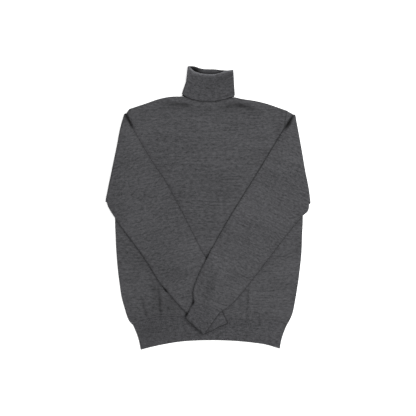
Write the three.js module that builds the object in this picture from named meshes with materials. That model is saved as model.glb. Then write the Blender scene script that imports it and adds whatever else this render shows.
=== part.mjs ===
// Turtleneck pullover in fine wool knit, laid flat with its front up. Both sleeves are
// folded over the front, the left one on top. Millimetres: +X is to the right as seen
// from above, +Y runs from hem to collar and +Z is up. The origin is on the surface it
// lies on, under the middle of the outline.

import * as THREE from 'three';

// Cloth and layers
const jerseyWall = 1.6;      // plain knit
const ribWall = 1.7;         // rib, measured in its furrows
const ribRelief = 0.5;       // a rib over the furrows beside it
const ribPitch = 4.4;        // one rib and one furrow
const seamGap = 0.35;        // between pieces along a seam
const panelLift = 1.0;       // air between the back and the front
const sleeveHollow = 1.0;    // air inside a flattened sleeve
const layClearance = 0.8;    // under a sleeve that lies on the cloth below it

const backTop = jerseyWall;
const frontUnder = backTop + panelLift;
const frontTop = frontUnder + jerseyWall;
const sleeveHalf = jerseyWall + sleeveHollow / 2;
const foldRadius = (frontTop + layClearance) / 2;

// Body
const bodyColumns = 26;
const armholeSteps = 10;
const shoulderDrop = 0.7;    // the front comes down to the back at side and shoulder seams
const bodySides = [
  { y: -328, left: -209.5, right: 220.5 },
  { y: -315, left: -221, right: 228 },
  { y: -298, left: -228, right: 235.5 },
  { y: -281, left: -233, right: 240 },
  { y: -248, left: -242, right: 246 },
  { y: -214, left: -247, right: 251.5 },
  { y: -180, left: -251.5, right: 256 },
  { y: -130, left: -256, right: 261.5 },
  { y: -80, left: -258.5, right: 263.5 },
  { y: -30, left: -260, right: 265.5 },
];
const armholes = {
  left: [[-219.8, 277.2], [-213, 230], [-214, 180], [-221, 120], [-236, 70], [-257.5, 36.5]],
  right: [[219.8, 272.7], [213.5, 230], [215, 180], [224, 120], [241, 70], [264.5, 29]],
};
const shoulderLine = [
  { x: -219.8, y: 277.2 }, { x: -172, y: 293 }, { x: -139, y: 304.5 }, { x: -105, y: 311.4 },
  { x: -73, y: 312 }, { x: 74, y: 310 }, { x: 97, y: 305 }, { x: 130, y: 300 },
  { x: 164, y: 292 }, { x: 219.8, y: 272.7 },
];
const neck = { halfWidth: 72, level: 311, tilt: -0.015, frontDrop: 9, backDrop: 3 };

// Soft folds of the front: middle, half length along the fold, half width, height, lean
const frontFolds = [
  { x: -130, y: -268, length: 36, width: 10, height: 2.6, lean: 2 },
  { x: -150, y: -284, length: 24, width: 8, height: 1.3, lean: -6 },
  { x: -172, y: -283, length: 26, width: 8, height: 1.6, lean: 8 },
  { x: 128, y: -246, length: 30, width: 9, height: 1.7, lean: -4 },
  { x: 146, y: -288, length: 22, width: 8, height: 1.3, lean: 3 },
  { x: 191, y: -268, length: 26, width: 9, height: 1.3, lean: 6 },
  { x: -84, y: 300, length: 12, width: 34, height: 1.4, lean: -12 },
  { x: -78, y: 272, length: 13, width: 36, height: 1.1, lean: -12 },
  { x: 92, y: 294, length: 11, width: 34, height: 1.6, lean: 18 },
  { x: 86, y: 264, length: 14, width: 40, height: 1.3, lean: 18 },
];

// Soft folds that run along the sleeves
const rightSleeveFolds = [
  { x: -96, y: -205, length: 44, width: 13, height: 1.4, lean: 36 },
  { x: -205, y: 120, length: 70, width: 22, height: 1.2, lean: 12 },
];
const leftSleeveFolds = [
  { x: 16, y: -230, length: 58, width: 13, height: 2.4, lean: -18 },
  { x: 92, y: -170, length: 60, width: 16, height: 1.3, lean: -38 },
  { x: 214, y: 110, length: 75, width: 24, height: 1.2, lean: -10 },
];

// Hem rib
const hemBackTop = ribWall;
const hemFrontUnder = hemBackTop + 0.5;
const hemRows = 2;
const hemSideBulge = 3;      // the rib's sides bow in by this much
const hemSeam = [
  [-209.5, -328], [-190, -317], [-162, -308], [-129, -303.5], [0, -304], [64, -308.5],
  [113, -312.5], [185, -313], [205, -318.5], [220.5, -328],
];
const hemEdge = [
  [-188, -396.5], [-155, -388], [-122, -381], [-71, -373.2], [-4, -370],
  [63, -371.2], [113, -375.2], [164, -382.5], [201, -393.5],
];

// Sleeves, as seen from above after folding: the outer fold from shoulder to elbow, the
// upper and lower edges from the fold to the cuff seam, and the cuff's open end
const sleeveColumns = 10;
const rightSleeve = {
  armhole: armholes.left,
  outward: -1,
  fold: [[-234, 265], [-246, 222], [-255.5, 172], [-266, 121.5], [-276.5, 71], [-287.5, 17]],
  overArm: [[-213, 229.5], [-158, 135], [-120.5, 78.5], [-84, 12], [-50, -54], [-13, -126],
    [19.5, -179], [32, -208.5], [36, -232], [31, -267.5]],
  underArm: [[-279, 3.5], [-253.5, -37], [-215, -89], [-172, -148.5], [-137.5, -204.5],
    [-105.5, -243], [-78, -275], [-54.5, -298]],
  cuffEnd: [[56, -322], [-11, -353]],
  steps: [0.03, 0.09, 0.18, 0.28, 0.38, 0.48, 0.58, 0.67, 0.75, 0.82, 0.88, 0.93, 0.97, 1],
};
const leftSleeve = {
  armhole: armholes.right,
  outward: 1,
  fold: [[244.5, 262], [248.5, 238], [254.5, 206], [263.5, 155.5], [272, 105], [282, 54.5], [287.5, 12]],
  overArm: [[213, 221], [159.5, 133], [126, 78.5], [75, -3], [19.5, -98], [-4, -142],
    [-22.5, -179], [-34.5, -208.5], [-41, -233], [-40, -260.5]],
  underArm: [[279.5, -8], [266.5, -20.5], [247, -42.5], [210, -89], [159, -156], [112, -216.5],
    [82, -253.5], [65.5, -270], [34, -291]],
  cuffEnd: [[-63, -306.5], [-10, -353.5]],
  steps: [0.03, 0.09, 0.18, 0.28, 0.38, 0.46, 0.52, 0.57, 0.61, 0.65, 0.69, 0.73, 0.77, 0.81, 0.85, 0.89,
    0.93, 0.97, 1],
};
const foldAngles = [0, 45, 90, 135, 180];
const drapeStart = 7;        // the top sleeve starts to come down this far past the one below
const drapeEnd = 34;
const cuffSteps = [0, 0.5, 1];
const cuffBackColumns = 6;

// Collar: a tube folded down over itself, so four layers lie on each other
const collarGap = 0.6;       // between the stand and the part turned down over it
const collarEndShare = 0.93; // share of its half width where the rounded ends begin
const collarOut = 2 * ribWall + collarGap;
const collarRoll = collarOut / 2;
const collarBackColumns = 8;
const collarSides = [
  { y: 300, left: -74, right: 76 }, { y: 314, left: -73.5, right: 75.2 },
  { y: 333, left: -68.5, right: 73.6 }, { y: 352, left: -62, right: 72.4 },
  { y: 398, left: -56.6, right: 69.4 },
];
const collarBackFold = [
  { x: -57, y: 397 }, { x: -39, y: 395.2 }, { x: -25, y: 389.5 }, { x: -12, y: 386 },
  { x: 20, y: 385.4 }, { x: 45, y: 383 }, { x: 69, y: 385.5 },
];
const collarFrontFold = [
  { x: -57, y: 395.6 }, { x: -49, y: 391.6 }, { x: -42, y: 386 }, { x: -25, y: 378.5 },
  { x: -3, y: 374.2 }, { x: 14, y: 373.4 }, { x: 30, y: 376.2 }, { x: 46, y: 380.4 }, { x: 69, y: 384.5 },
];
const collarFrontEdge = [
  { x: -73, y: 315 }, { x: -60, y: 309 }, { x: -47, y: 303.8 }, { x: -21, y: 298 },
  { x: 20, y: 298 }, { x: 46, y: 303 }, { x: 75, y: 312 },
];
const collarBackEdge = 323;
const collarFoldLevel = 388; // about where the collar folds over
// Height of the two inner faces of the stand above the surface, by distance from the hem
const standHeights = [
  { y: 296, back: 1.7, front: 2.5 }, { y: 308, back: 1.7, front: 2.6 }, { y: 313, back: 2, front: 3.3 },
  { y: 323, back: 4.05, front: 5.2 }, { y: 350, back: 4.05, front: 7.2 },
  { y: 372, back: 4.05, front: 9.6 }, { y: 398, back: 4.05, front: 11.6 },
];

const knit = new THREE.MeshStandardMaterial({ color: '#4e4e50', roughness: 0.92, metalness: 0 });
const rib = new THREE.MeshStandardMaterial({ color: '#4a4a4c', roughness: 0.94, metalness: 0 });

const { lerp, smoothstep, degToRad } = THREE.MathUtils;
const mixPoint = (a, b, t) => [lerp(a[0], b[0], t), lerp(a[1], b[1], t)];

// A smooth plan curve through points, by share of its length
function curveThrough(points) {
  const curve = new THREE.CatmullRomCurve3(
    points.map(([x, y]) => new THREE.Vector3(x, y, 0)), false, 'centripetal');
  return (share) => {
    const p = curve.getPointAt(THREE.MathUtils.clamp(share, 0, 1));
    return [p.x, p.y];
  };
}

// Reads a short table by straight lines between its rows
function tableValue(rows, key, value, at) {
  let low = 0;
  while (low < rows.length - 2 && at > rows[low + 1][key]) low += 1;
  const a = rows[low];
  const b = rows[low + 1];
  const share = THREE.MathUtils.clamp((at - a[key]) / (b[key] - a[key]), 0, 1);
  return lerp(a[value], b[value], share);
}

function meshFrom(name, vertices, faces, material) {
  let volume = 0;
  for (const [a, b, c] of faces) volume += vertices[a].dot(vertices[b].clone().cross(vertices[c]));
  const outward = volume > 0 ? faces : faces.map(([a, b, c]) => [a, c, b]);
  const positions = vertices.flatMap((v) => v.toArray());
  const geometry = new THREE.BufferGeometry();
  geometry.setAttribute('position', new THREE.Float32BufferAttribute(positions, 3));
  geometry.setIndex(outward.flat());
  geometry.computeVertexNormals();
  const mesh = new THREE.Mesh(geometry, material);
  mesh.name = name;
  return mesh;
}

// Two grids of points, wound into one closed wall. Either direction may run round in a loop.
function wallMesh(name, outer, inner, { loop = false, material = knit } = {}) {
  const rows = outer.length;
  const columns = outer[0].length;
  const vertices = [...outer.flat(), ...inner.flat()];
  const faces = [];
  const at = (layer, i, j) => layer * rows * columns + i * columns + (j % columns);
  const quad = (a, b, c, d) => faces.push([a, b, c], [a, c, d]);
  const spans = loop ? columns : columns - 1;
  for (let i = 0; i < rows - 1; i += 1) {
    for (let j = 0; j < spans; j += 1) {
      quad(at(0, i, j), at(0, i, j + 1), at(0, i + 1, j + 1), at(0, i + 1, j));
      quad(at(1, i, j), at(1, i + 1, j), at(1, i + 1, j + 1), at(1, i, j + 1));
    }
  }
  for (let j = 0; j < spans; j += 1) {
    const last = rows - 1;
    quad(at(0, 0, j), at(1, 0, j), at(1, 0, j + 1), at(0, 0, j + 1));
    quad(at(0, last, j), at(0, last, j + 1), at(1, last, j + 1), at(1, last, j));
  }
  if (!loop) {
    for (let i = 0; i < rows - 1; i += 1) {
      const last = columns - 1;
      quad(at(0, i, 0), at(0, i + 1, 0), at(1, i + 1, 0), at(1, i, 0));
      quad(at(0, i, last), at(1, i, last), at(1, i + 1, last), at(0, i + 1, last));
    }
  }
  return meshFrom(name, vertices, faces, material);
}

// A closed section carried round a closed loop
function ringMesh(name, sections, material) {
  const count = sections.length;
  const around = sections[0].length;
  const faces = [];
  for (let i = 0; i < count; i += 1) {
    for (let j = 0; j < around; j += 1) {
      const a = i * around + j;
      const b = i * around + ((j + 1) % around);
      const c = ((i + 1) % count) * around + ((j + 1) % around);
      const d = ((i + 1) % count) * around + j;
      faces.push([a, b, c], [a, c, d]);
    }
  }
  return meshFrom(name, sections.flat(), faces, material);
}

function foldHeight(folds, x, y) {
  let height = 0;
  for (const fold of folds) {
    const lean = degToRad(fold.lean);
    const across = (x - fold.x) * Math.cos(lean) + (y - fold.y) * Math.sin(lean);
    const along = (y - fold.y) * Math.cos(lean) - (x - fold.x) * Math.sin(lean);
    height += fold.height * Math.exp(-((across / fold.width) ** 2) - (along / fold.length) ** 2);
  }
  return height;
}

function neckLine(x, drop) {
  const scoop = Math.max(0, 1 - (x / neck.halfWidth) ** 2);
  return neck.level + neck.tilt * x - drop * scoop;
}

const shoulderCurve = {
  left: curveThrough(shoulderLine.filter((p) => p.x < 0).map((p) => [p.x, p.y])),
  right: curveThrough(shoulderLine.filter((p) => p.x > 0).map((p) => [p.x, p.y])),
};

// Top edge of a body panel: shoulder, neckline, shoulder
function topEdge(share, drop) {
  const [first, last] = [shoulderLine[0], shoulderLine[shoulderLine.length - 1]];
  const x = lerp(first.x, last.x, share);
  if (Math.abs(x) < neck.halfWidth) return [x, neckLine(x, drop)];
  const reach = (Math.abs(x) - neck.halfWidth) / (Math.abs(first.x) - neck.halfWidth);
  return x < 0 ? shoulderCurve.left(1 - reach) : shoulderCurve.right(reach);
}

const armholeCurve = {
  left: curveThrough(armholes.left),
  right: curveThrough(armholes.right),
};
const hemSeamCurve = curveThrough(hemSeam);
const hemSeamPoints = Array.from({ length: bodyColumns + 1 }, (_, j) => hemSeamCurve(j / bodyColumns));

// The hem seam as the body's lower edge runs, in straight steps
function hemSeamAt(share) {
  const step = Math.min(Math.floor(share * bodyColumns), bodyColumns - 1);
  return mixPoint(hemSeamPoints[step], hemSeamPoints[step + 1], share * bodyColumns - step);
}

// Rows of a body panel from hem seam to shoulder, each with its two ends
const bodyRows = [
  ...bodySides.map((row) => ({ left: [row.left, row.y], right: [row.right, row.y], side: 1 })),
  ...Array.from({ length: armholeSteps + 1 }, (_, k) => {
    const share = 1 - k / armholeSteps;
    return { left: armholeCurve.left(share), right: armholeCurve.right(share), side: 0 };
  }),
];

function bodyPlan(drop) {
  const top = (u) => topEdge(u, drop);
  const bottomEnds = [hemSeamAt(0), hemSeamAt(1)];
  const topEnds = [top(0), top(1)];
  const height = topEnds[0][1] - bottomEnds[0][1];
  return bodyRows.map(({ left, right }) => {
    const rise = (left[1] - bottomEnds[0][1]) / height;
    return Array.from({ length: bodyColumns + 1 }, (_, j) => {
      const u = j / bodyColumns;
      const [x, y] = mixPoint(left, right, u);
      const bottom = hemSeamAt(u);
      const bottomBase = mixPoint(...bottomEnds, u);
      const upper = top(u);
      const upperBase = mixPoint(...topEnds, u);
      const low = (1 - rise) ** 3;
      const high = rise ** 3;
      return [
        x + low * (bottom[0] - bottomBase[0]) + high * (upper[0] - upperBase[0]),
        y + low * (bottom[1] - bottomBase[1]) + high * (upper[1] - upperBase[1]),
      ];
    });
  });
}

// The flat piece that a plan's outer points go round, lying on the surface
function flatPiece(name, plan, thickness, material) {
  const last = plan[0].length - 1;
  const outline = [
    ...plan[0], ...plan.slice(1, -1).map((row) => row[last]),
    ...plan[plan.length - 1].slice().reverse(), ...plan.slice(1, -1).map((row) => row[0]).reverse(),
  ];
  const shape = new THREE.Shape(outline.map(([x, y]) => new THREE.Vector2(x, y)));
  const mesh = new THREE.Mesh(
    new THREE.ExtrudeGeometry(shape, { depth: thickness, bevelEnabled: false }), material);
  mesh.name = name;
  return mesh;
}

const bodyBack = () => flatPiece('body_back', bodyPlan(neck.backDrop), backTop, knit);
const hemRibBack = () => flatPiece('hem_rib_back', hemPlan(bodyColumns), hemBackTop, rib);

function bodyFront() {
  const plan = bodyPlan(neck.frontDrop);
  const last = plan.length - 1;
  const place = (base) => plan.map((row, i) => row.map(([x, y], j) => {
    const onSide = (j === 0 || j === bodyColumns) ? bodyRows[i].side : 0;
    const onShoulder = (i === last && Math.abs(x) > neck.halfWidth && j > 0 && j < bodyColumns) ? 1 : 0;
    const drop = shoulderDrop * Math.max(onSide, onShoulder);
    return new THREE.Vector3(x, y, base + foldHeight(frontFolds, x, y) - drop);
  }));
  return wallMesh('body_front', place(frontTop), place(frontUnder));
}

// Hem rib: front and back bands, each from the seam down to the lower edge
function hemPlan(columns) {
  const edge = curveThrough(hemEdge);
  return Array.from({ length: hemRows + 1 }, (_, i) => {
    const down = i / hemRows;
    return Array.from({ length: columns + 1 }, (_, j) => {
      const u = j / columns;
      const [seamX, seamY] = hemSeamAt(u);
      const [x, y] = mixPoint([seamX, seamY - seamGap], edge(u), down);
      const pull = hemSideBulge * Math.sin(Math.PI * down) * (2 * u - 1) ** 7;
      return [x - pull, y];
    });
  });
}

function hemRibFront() {
  const width = hemEdge[hemEdge.length - 1][0] - hemEdge[0][0];
  const plan = hemPlan(2 * Math.round(width / ribPitch));
  const level = (z, relief) => plan.map((row) => row.map(([x, y], j) => (
    new THREE.Vector3(x, y, z + relief * (j % 2))
  )));
  return wallMesh('hem_rib_front', level(hemFrontUnder + ribWall, ribRelief), level(hemFrontUnder, 0),
    { material: rib });
}

// Distance from a point to an outline, negative inside it
function outlineDistance(x, y, outline) {
  let nearest = Infinity;
  let inside = false;
  outline.forEach(([ax, ay], k) => {
    const [bx, by] = outline[(k + 1) % outline.length];
    const dx = bx - ax;
    const dy = by - ay;
    const share = THREE.MathUtils.clamp(((x - ax) * dx + (y - ay) * dy) / (dx * dx + dy * dy), 0, 1);
    nearest = Math.min(nearest, Math.hypot(x - ax - share * dx, y - ay - share * dy));
    if ((ay > y) !== (by > y) && x < ax + ((y - ay) / dy) * dx) inside = !inside;
  });
  return inside ? -nearest : nearest;
}

const restOnFront = (x, y) => frontTop + layClearance + foldHeight(frontFolds, x, y);
const restRightSleeve = (x, y) => restOnFront(x, y) + foldHeight(rightSleeveFolds, x, y);

const rightSleeveOutline = [
  ...rightSleeve.fold, ...rightSleeve.underArm, rightSleeve.cuffEnd[1], rightSleeve.cuffEnd[0],
  ...rightSleeve.overArm.slice().reverse(),
];

// The left sleeve lies on the front and, where they cross, on the right sleeve
function restLeftSleeve(x, y) {
  const away = outlineDistance(x, y, rightSleeveOutline);
  const lift = 2 * sleeveHalf + ribRelief + layClearance;
  const below = restRightSleeve(x, y) + lift * (1 - smoothstep(away, drapeStart, drapeEnd));
  return below + foldHeight(leftSleeveFolds, x, y);
}

// One sleeve's plan and layers: its stations run from the armhole, round the outer fold
// and over the front to the cuff seam
function sleeveStations(cut, rest) {
  const armhole = curveThrough(cut.armhole);
  const fold = curveThrough(cut.fold);
  const [top, elbow] = [fold(0), fold(1)];
  const run = [elbow[0] - top[0], elbow[1] - top[1]];
  const length = Math.hypot(...run);
  const out = [-cut.outward * run[1] / length, cut.outward * run[0] / length];
  const foot = (t) => {
    const [x, y] = fold(t);
    return [x - out[0] * (foldRadius + sleeveHalf), y - out[1] * (foldRadius + sleeveHalf)];
  };
  const overArm = curveThrough([foot(0), ...cut.overArm]);
  const underArm = curveThrough([foot(1), ...cut.underArm]);
  const corners = [foot(0), foot(1), overArm(1), underArm(1)];
  const down = new THREE.Vector3(0, 0, -1);
  const up = new THREE.Vector3(0, 0, 1);
  const stations = [];
  for (const s of [0, 0.5]) {
    stations.push((t) => {
      const start = armhole(t);
      const [x, y] = mixPoint([start[0] + cut.outward * seamGap, start[1]], foot(t), s);
      return { x, y, z: () => sleeveHalf, normal: down };
    });
  }
  for (const degrees of foldAngles) {
    const angle = degToRad(degrees);
    const normal = new THREE.Vector3(out[0] * Math.sin(angle), out[1] * Math.sin(angle), -Math.cos(angle));
    const reach = foldRadius * Math.sin(angle);
    const level = sleeveHalf + foldRadius * (1 - Math.cos(angle));
    stations.push((t) => {
      const [x, y] = foot(t);
      return { x: x + out[0] * reach, y: y + out[1] * reach, z: () => level, normal };
    });
  }
  for (const s of cut.steps) {
    stations.push((t) => {
      const a = mixPoint(overArm(s), underArm(s), t);
      const across = mixPoint(foot(t), mixPoint(corners[2], corners[3], t), s);
      const c = mixPoint(mixPoint(corners[0], corners[1], t), mixPoint(corners[2], corners[3], t), s);
      return {
        x: a[0] + across[0] - c[0],
        y: a[1] + across[1] - c[1],
        z: (x, y) => rest(x, y) + sleeveHalf,
        normal: up,
      };
    });
  }
  return stations;
}

// Points round a flattened tube: first the face that shows, then the hidden one
function tubeSection(columns, backColumns, half, relief = 0) {
  const endDepth = sleeveHalf;
  const split = (count) => Array.from({ length: count - 1 }, (_, k) => (k + 1) / count);
  const face = [
    { mm: endDepth, height: half },
    ...split(columns).map((share, k) => ({ share, height: half + relief * ((k + 1) % 2) })),
    { mm: -endDepth, height: half },
  ];
  const back = [
    { mm: -endDepth, height: -half },
    ...split(backColumns).reverse().map((share) => ({ share, height: -half })),
    { mm: endDepth, height: -half },
  ];
  const inset = sleeveHalf - half;
  const round = Math.SQRT1_2;
  const nose = inset + (endDepth - inset) * (1 - round);
  return [
    { mm: inset, height: 0 }, { mm: nose, height: half * round }, ...face,
    { mm: -nose, height: half * round }, { mm: -inset, height: 0 }, { mm: -nose, height: -half * round },
    ...back, { mm: nose, height: -half * round },
  ];
}

function stationLoop(station, section) {
  const [a, b] = [station(0), station(1)];
  const length = Math.hypot(b.x - a.x, b.y - a.y);
  return section.map(({ share, mm, height }) => {
    const endShare = mm < 0 || Object.is(mm, -0) ? 1 + mm / length : mm / length;
    const place = station(share ?? endShare);
    const shift = place.normal.clone().multiplyScalar(height);
    return new THREE.Vector3(place.x + shift.x, place.y + shift.y, place.z(place.x, place.y) + shift.z);
  });
}

function tubeMesh(name, stations, outer, inner, material) {
  const loops = (section) => stations.map((station) => stationLoop(station, section));
  return wallMesh(name, loops(outer), loops(inner), { loop: true, material });
}

function sleeve(name, cut, rest) {
  const stations = sleeveStations(cut, rest);
  const outer = tubeSection(sleeveColumns, sleeveColumns, sleeveHalf);
  const inner = tubeSection(sleeveColumns, sleeveColumns, sleeveHollow / 2);
  return tubeMesh(name, stations, outer, inner, knit);
}

function cuff(name, cut, rest) {
  const seam = [cut.overArm[cut.overArm.length - 1], cut.underArm[cut.underArm.length - 1]];
  const along = [cut.cuffEnd[0][0] - seam[0][0], cut.cuffEnd[0][1] - seam[0][1]];
  const reach = Math.hypot(...along);
  const stations = cuffSteps.map((s) => (t) => {
    const start = mixPoint(seam[0], seam[1], t);
    const gapped = [start[0] + along[0] / reach * seamGap, start[1] + along[1] / reach * seamGap];
    const [x, y] = mixPoint(gapped, mixPoint(cut.cuffEnd[0], cut.cuffEnd[1], t), s);
    return { x, y, z: (px, py) => rest(px, py) + sleeveHalf, normal: new THREE.Vector3(0, 0, 1) };
  });
  const width = Math.hypot(seam[1][0] - seam[0][0], seam[1][1] - seam[0][1]);
  const columns = 2 * Math.round(width / ribPitch);
  const outer = tubeSection(columns, cuffBackColumns, sleeveHalf, ribRelief);
  const inner = tubeSection(columns, cuffBackColumns, sleeveHalf - ribWall);
  return tubeMesh(name, stations, outer, inner, rib);
}

// Where each column of the collar runs: its share across, and 1 on the front, -1 on the back
function collarLoop() {
  const frontWidth = collarSides[1].right - collarSides[1].left;
  const frontColumns = 2 * Math.round(frontWidth * collarEndShare / ribPitch);
  const loop = [];
  const end = (degrees) => {
    const angle = degToRad(degrees);
    const cosine = Math.cos(angle);
    const across = Math.sign(cosine) * (collarEndShare + (1 - collarEndShare) * Math.abs(cosine));
    loop.push({ across, side: Math.sin(angle), raised: 0 });
  };
  const face = (columns, side, relief) => {
    for (let k = 0; k <= columns; k += 1) {
      const across = side * collarEndShare * (2 * k / columns - 1);
      loop.push({ across, side, raised: relief * (k % 2) });
    }
  };
  end(180);
  end(145);
  end(115);
  face(frontColumns, 1, ribRelief);
  end(65);
  end(35);
  end(0);
  end(-35);
  end(-65);
  face(collarBackColumns, -1, 0);
  end(-115);
  end(-145);
  return loop;
}

// The folded wall in section: how far along its height, and how far out from the inner face
function collarProfile() {
  const stand = [0, 0.25, 0.6, 1];
  const turned = [0, 0.4, 0.75, 1];
  const arc = (radius, degrees) => degrees.map((d) => {
    const angle = degToRad(d);
    return { part: 'roll', up: radius * Math.sin(angle), out: collarRoll - radius * Math.cos(angle) };
  });
  return [
    ...stand.map((up) => ({ part: 'stand', up, out: 0 })),
    ...arc(collarRoll, [45, 90, 135]),
    ...turned.map((up) => ({ part: 'turned', up, out: collarOut, ribbed: true })),
    ...turned.slice().reverse().map((up) => ({ part: 'turned', up, out: ribWall + collarGap })),
    ...arc(collarGap / 2, [90]),
    ...stand.slice().reverse().map((up) => ({ part: 'stand', up, out: ribWall })),
  ];
}

function collarPoint(column, point) {
  const front = (column.side + 1) / 2;
  const acrossAt = (y) => {
    const left = tableValue(collarSides, 'y', 'left', y);
    const right = tableValue(collarSides, 'y', 'right', y);
    return (left + right) / 2 + ((right - left) / 2 - collarOut + point.out) * column.across;
  };
  const foldX = acrossAt(collarFoldLevel);
  const neckX = acrossAt(neck.level);
  const foldY = lerp(tableValue(collarBackFold, 'x', 'y', foldX),
    tableValue(collarFrontFold, 'x', 'y', foldX), front) - collarRoll;
  const seamY = lerp(neckLine(neckX, neck.backDrop), neckLine(neckX, neck.frontDrop), front) + 2 * seamGap;
  const edgeY = lerp(collarBackEdge, tableValue(collarFrontEdge, 'x', 'y', neckX), front);
  const y = {
    stand: lerp(seamY, foldY, point.up),
    roll: foldY + point.up,
    turned: lerp(foldY, edgeY, point.up),
  }[point.part];
  const back = tableValue(standHeights, 'y', 'back', y);
  const lifted = tableValue(standHeights, 'y', 'front', y);
  const relief = point.ribbed ? column.raised : 0;
  const x = acrossAt(y);
  const z = (back + lifted) / 2 + ((lifted - back) / 2 + point.out) * column.side + relief;
  return new THREE.Vector3(x, y, z);
}

function collar() {
  const profile = collarProfile();
  const sections = collarLoop().map((column) => profile.map((point) => collarPoint(column, point)));
  return ringMesh('collar', sections, rib);
}

const sweater = new THREE.Group();
sweater.add(
  bodyBack(),
  bodyFront(),
  hemRibBack(),
  hemRibFront(),
  sleeve('sleeve_right', rightSleeve, restRightSleeve),
  cuff('cuff_right', rightSleeve, restRightSleeve),
  sleeve('sleeve_left', leftSleeve, restLeftSleeve),
  cuff('cuff_left', leftSleeve, restLeftSleeve),
  collar(),
);

export default sweater;
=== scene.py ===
import math
import bpy
import numpy as np
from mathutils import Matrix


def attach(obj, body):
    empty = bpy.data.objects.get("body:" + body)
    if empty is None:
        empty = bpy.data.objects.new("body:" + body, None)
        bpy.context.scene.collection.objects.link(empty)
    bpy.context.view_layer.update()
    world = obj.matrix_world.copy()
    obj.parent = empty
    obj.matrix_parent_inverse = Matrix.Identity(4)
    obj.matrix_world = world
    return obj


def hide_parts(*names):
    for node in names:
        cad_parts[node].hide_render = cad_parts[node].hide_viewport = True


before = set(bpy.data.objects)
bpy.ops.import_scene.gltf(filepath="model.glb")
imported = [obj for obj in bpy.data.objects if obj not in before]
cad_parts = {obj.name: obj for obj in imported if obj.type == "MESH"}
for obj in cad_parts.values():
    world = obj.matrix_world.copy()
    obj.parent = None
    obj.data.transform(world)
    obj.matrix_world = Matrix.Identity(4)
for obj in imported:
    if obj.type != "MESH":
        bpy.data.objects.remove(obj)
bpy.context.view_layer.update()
print("frame loaded")

mm = 0.001  # the tables below are in millimetres, the meshes in metres


def placeObject(name, data):
    item = bpy.data.objects.new(name, data)
    bpy.context.collection.objects.link(item)
    return item


# The camera looks straight down and is framed as the photo is
view = {"height": 3.2, "width": 1.1648, "sensor": 36.0}


def makeCamera():
    data = bpy.data.cameras.new("overheadCamera")
    data.sensor_width = view["sensor"]
    data.lens = view["sensor"] * view["height"] / view["width"]
    camera = placeObject("overheadCamera", data)
    camera.location = (0, 0, view["height"])
    bpy.context.scene.camera = camera


makeCamera()
print("camera set")


# Curves, tables and soft shapes

def curveThrough(points, perSpan=40):
    # a smooth line through the points, read by share of its length
    p = np.array(points, float)
    ends = np.vstack([2 * p[0] - p[1], p, 2 * p[-1] - p[-2]])
    s = np.linspace(0, 1, perSpan, endpoint=False)[:, None]
    spans = []
    for k in range(1, len(ends) - 2):
        p0, p1, p2, p3 = ends[k - 1:k + 3]
        d0, d1, d2 = (np.linalg.norm(b - a) ** 0.5 for a, b in ((p0, p1), (p1, p2), (p2, p3)))
        t1 = ((p1 - p0) / d0 - (p2 - p0) / (d0 + d1) + (p2 - p1) / d1) * d1
        t2 = ((p2 - p1) / d1 - (p3 - p1) / (d1 + d2) + (p3 - p2) / d2) * d1
        rise = 3 * (p2 - p1) - 2 * t1 - t2
        turn = 2 * (p1 - p2) + t1 + t2
        spans.append(p1 + t1 * s + rise * s ** 2 + turn * s ** 3)
    line = np.vstack([*spans, p[-1:]])
    steps = np.linalg.norm(np.diff(line, axis=0), axis=1)
    length = np.concatenate([[0], np.cumsum(steps)])

    def at(share):
        reach = np.clip(share, 0, 1) * length[-1]
        return np.stack([np.interp(reach, length, line[:, k]) for k in range(2)], -1)

    return at


def softTable(rows, spread):
    # a function that reads a table of (place, value) with its corners rounded over spread
    table = np.array(rows, float)
    places = np.arange(table[0, 0], table[-1, 0] + 0.25, 0.5)
    values = np.interp(places, table[:, 0], table[:, 1])
    reach = max(1, int(round(spread / 0.5)))
    weights = np.hanning(2 * reach + 3)
    padded = np.concatenate([
        2 * values[0] - values[reach + 1:0:-1], values, 2 * values[-1] - values[-2:-reach - 3:-1]])
    soft = np.convolve(padded, weights / weights.sum(), "valid")
    return lambda at: np.interp(at, places, soft)


def mix(a, b, t):
    return a + (b - a) * t


def easeStep(value, low, high):
    t = np.clip((value - low) / (high - low), 0, 1)
    return t * t * (3 - 2 * t)


def roundedDrop(distance, reach):
    # 1 at an edge and 0 from reach inwards, as a rolled edge comes down
    t = 1 - np.clip(distance / reach, 0, 1)
    return 1 - np.sqrt(np.clip(1 - t * t, 0, 1))


def foldHeight(folds, x, y):
    height = np.zeros_like(x)
    for foldX, foldY, length, width, rise, lean in folds:
        c, s = math.cos(math.radians(lean)), math.sin(math.radians(lean))
        across = ((x - foldX) * c + (y - foldY) * s) / width
        along = ((y - foldY) * c - (x - foldX) * s) / length
        height = height + rise * np.exp(-across ** 2 - along ** 2)
    return height


def softWaves(seed, size, count=10):
    # the gentle unevenness of laid cloth, about -1 to 1
    random = np.random.default_rng(seed)
    angles = random.uniform(0, 2 * math.pi, count)
    waves = 2 * math.pi / (size * random.uniform(0.6, 1.7, count))
    phases = random.uniform(0, 2 * math.pi, count)

    def at(x, y):
        total = np.zeros_like(x)
        for angle, wave, phase in zip(angles, waves, phases):
            total = total + np.sin((x * math.cos(angle) + y * math.sin(angle)) * wave + phase)
        return total / (1.7 * math.sqrt(count))

    return at


# Closed cloth meshes

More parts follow.
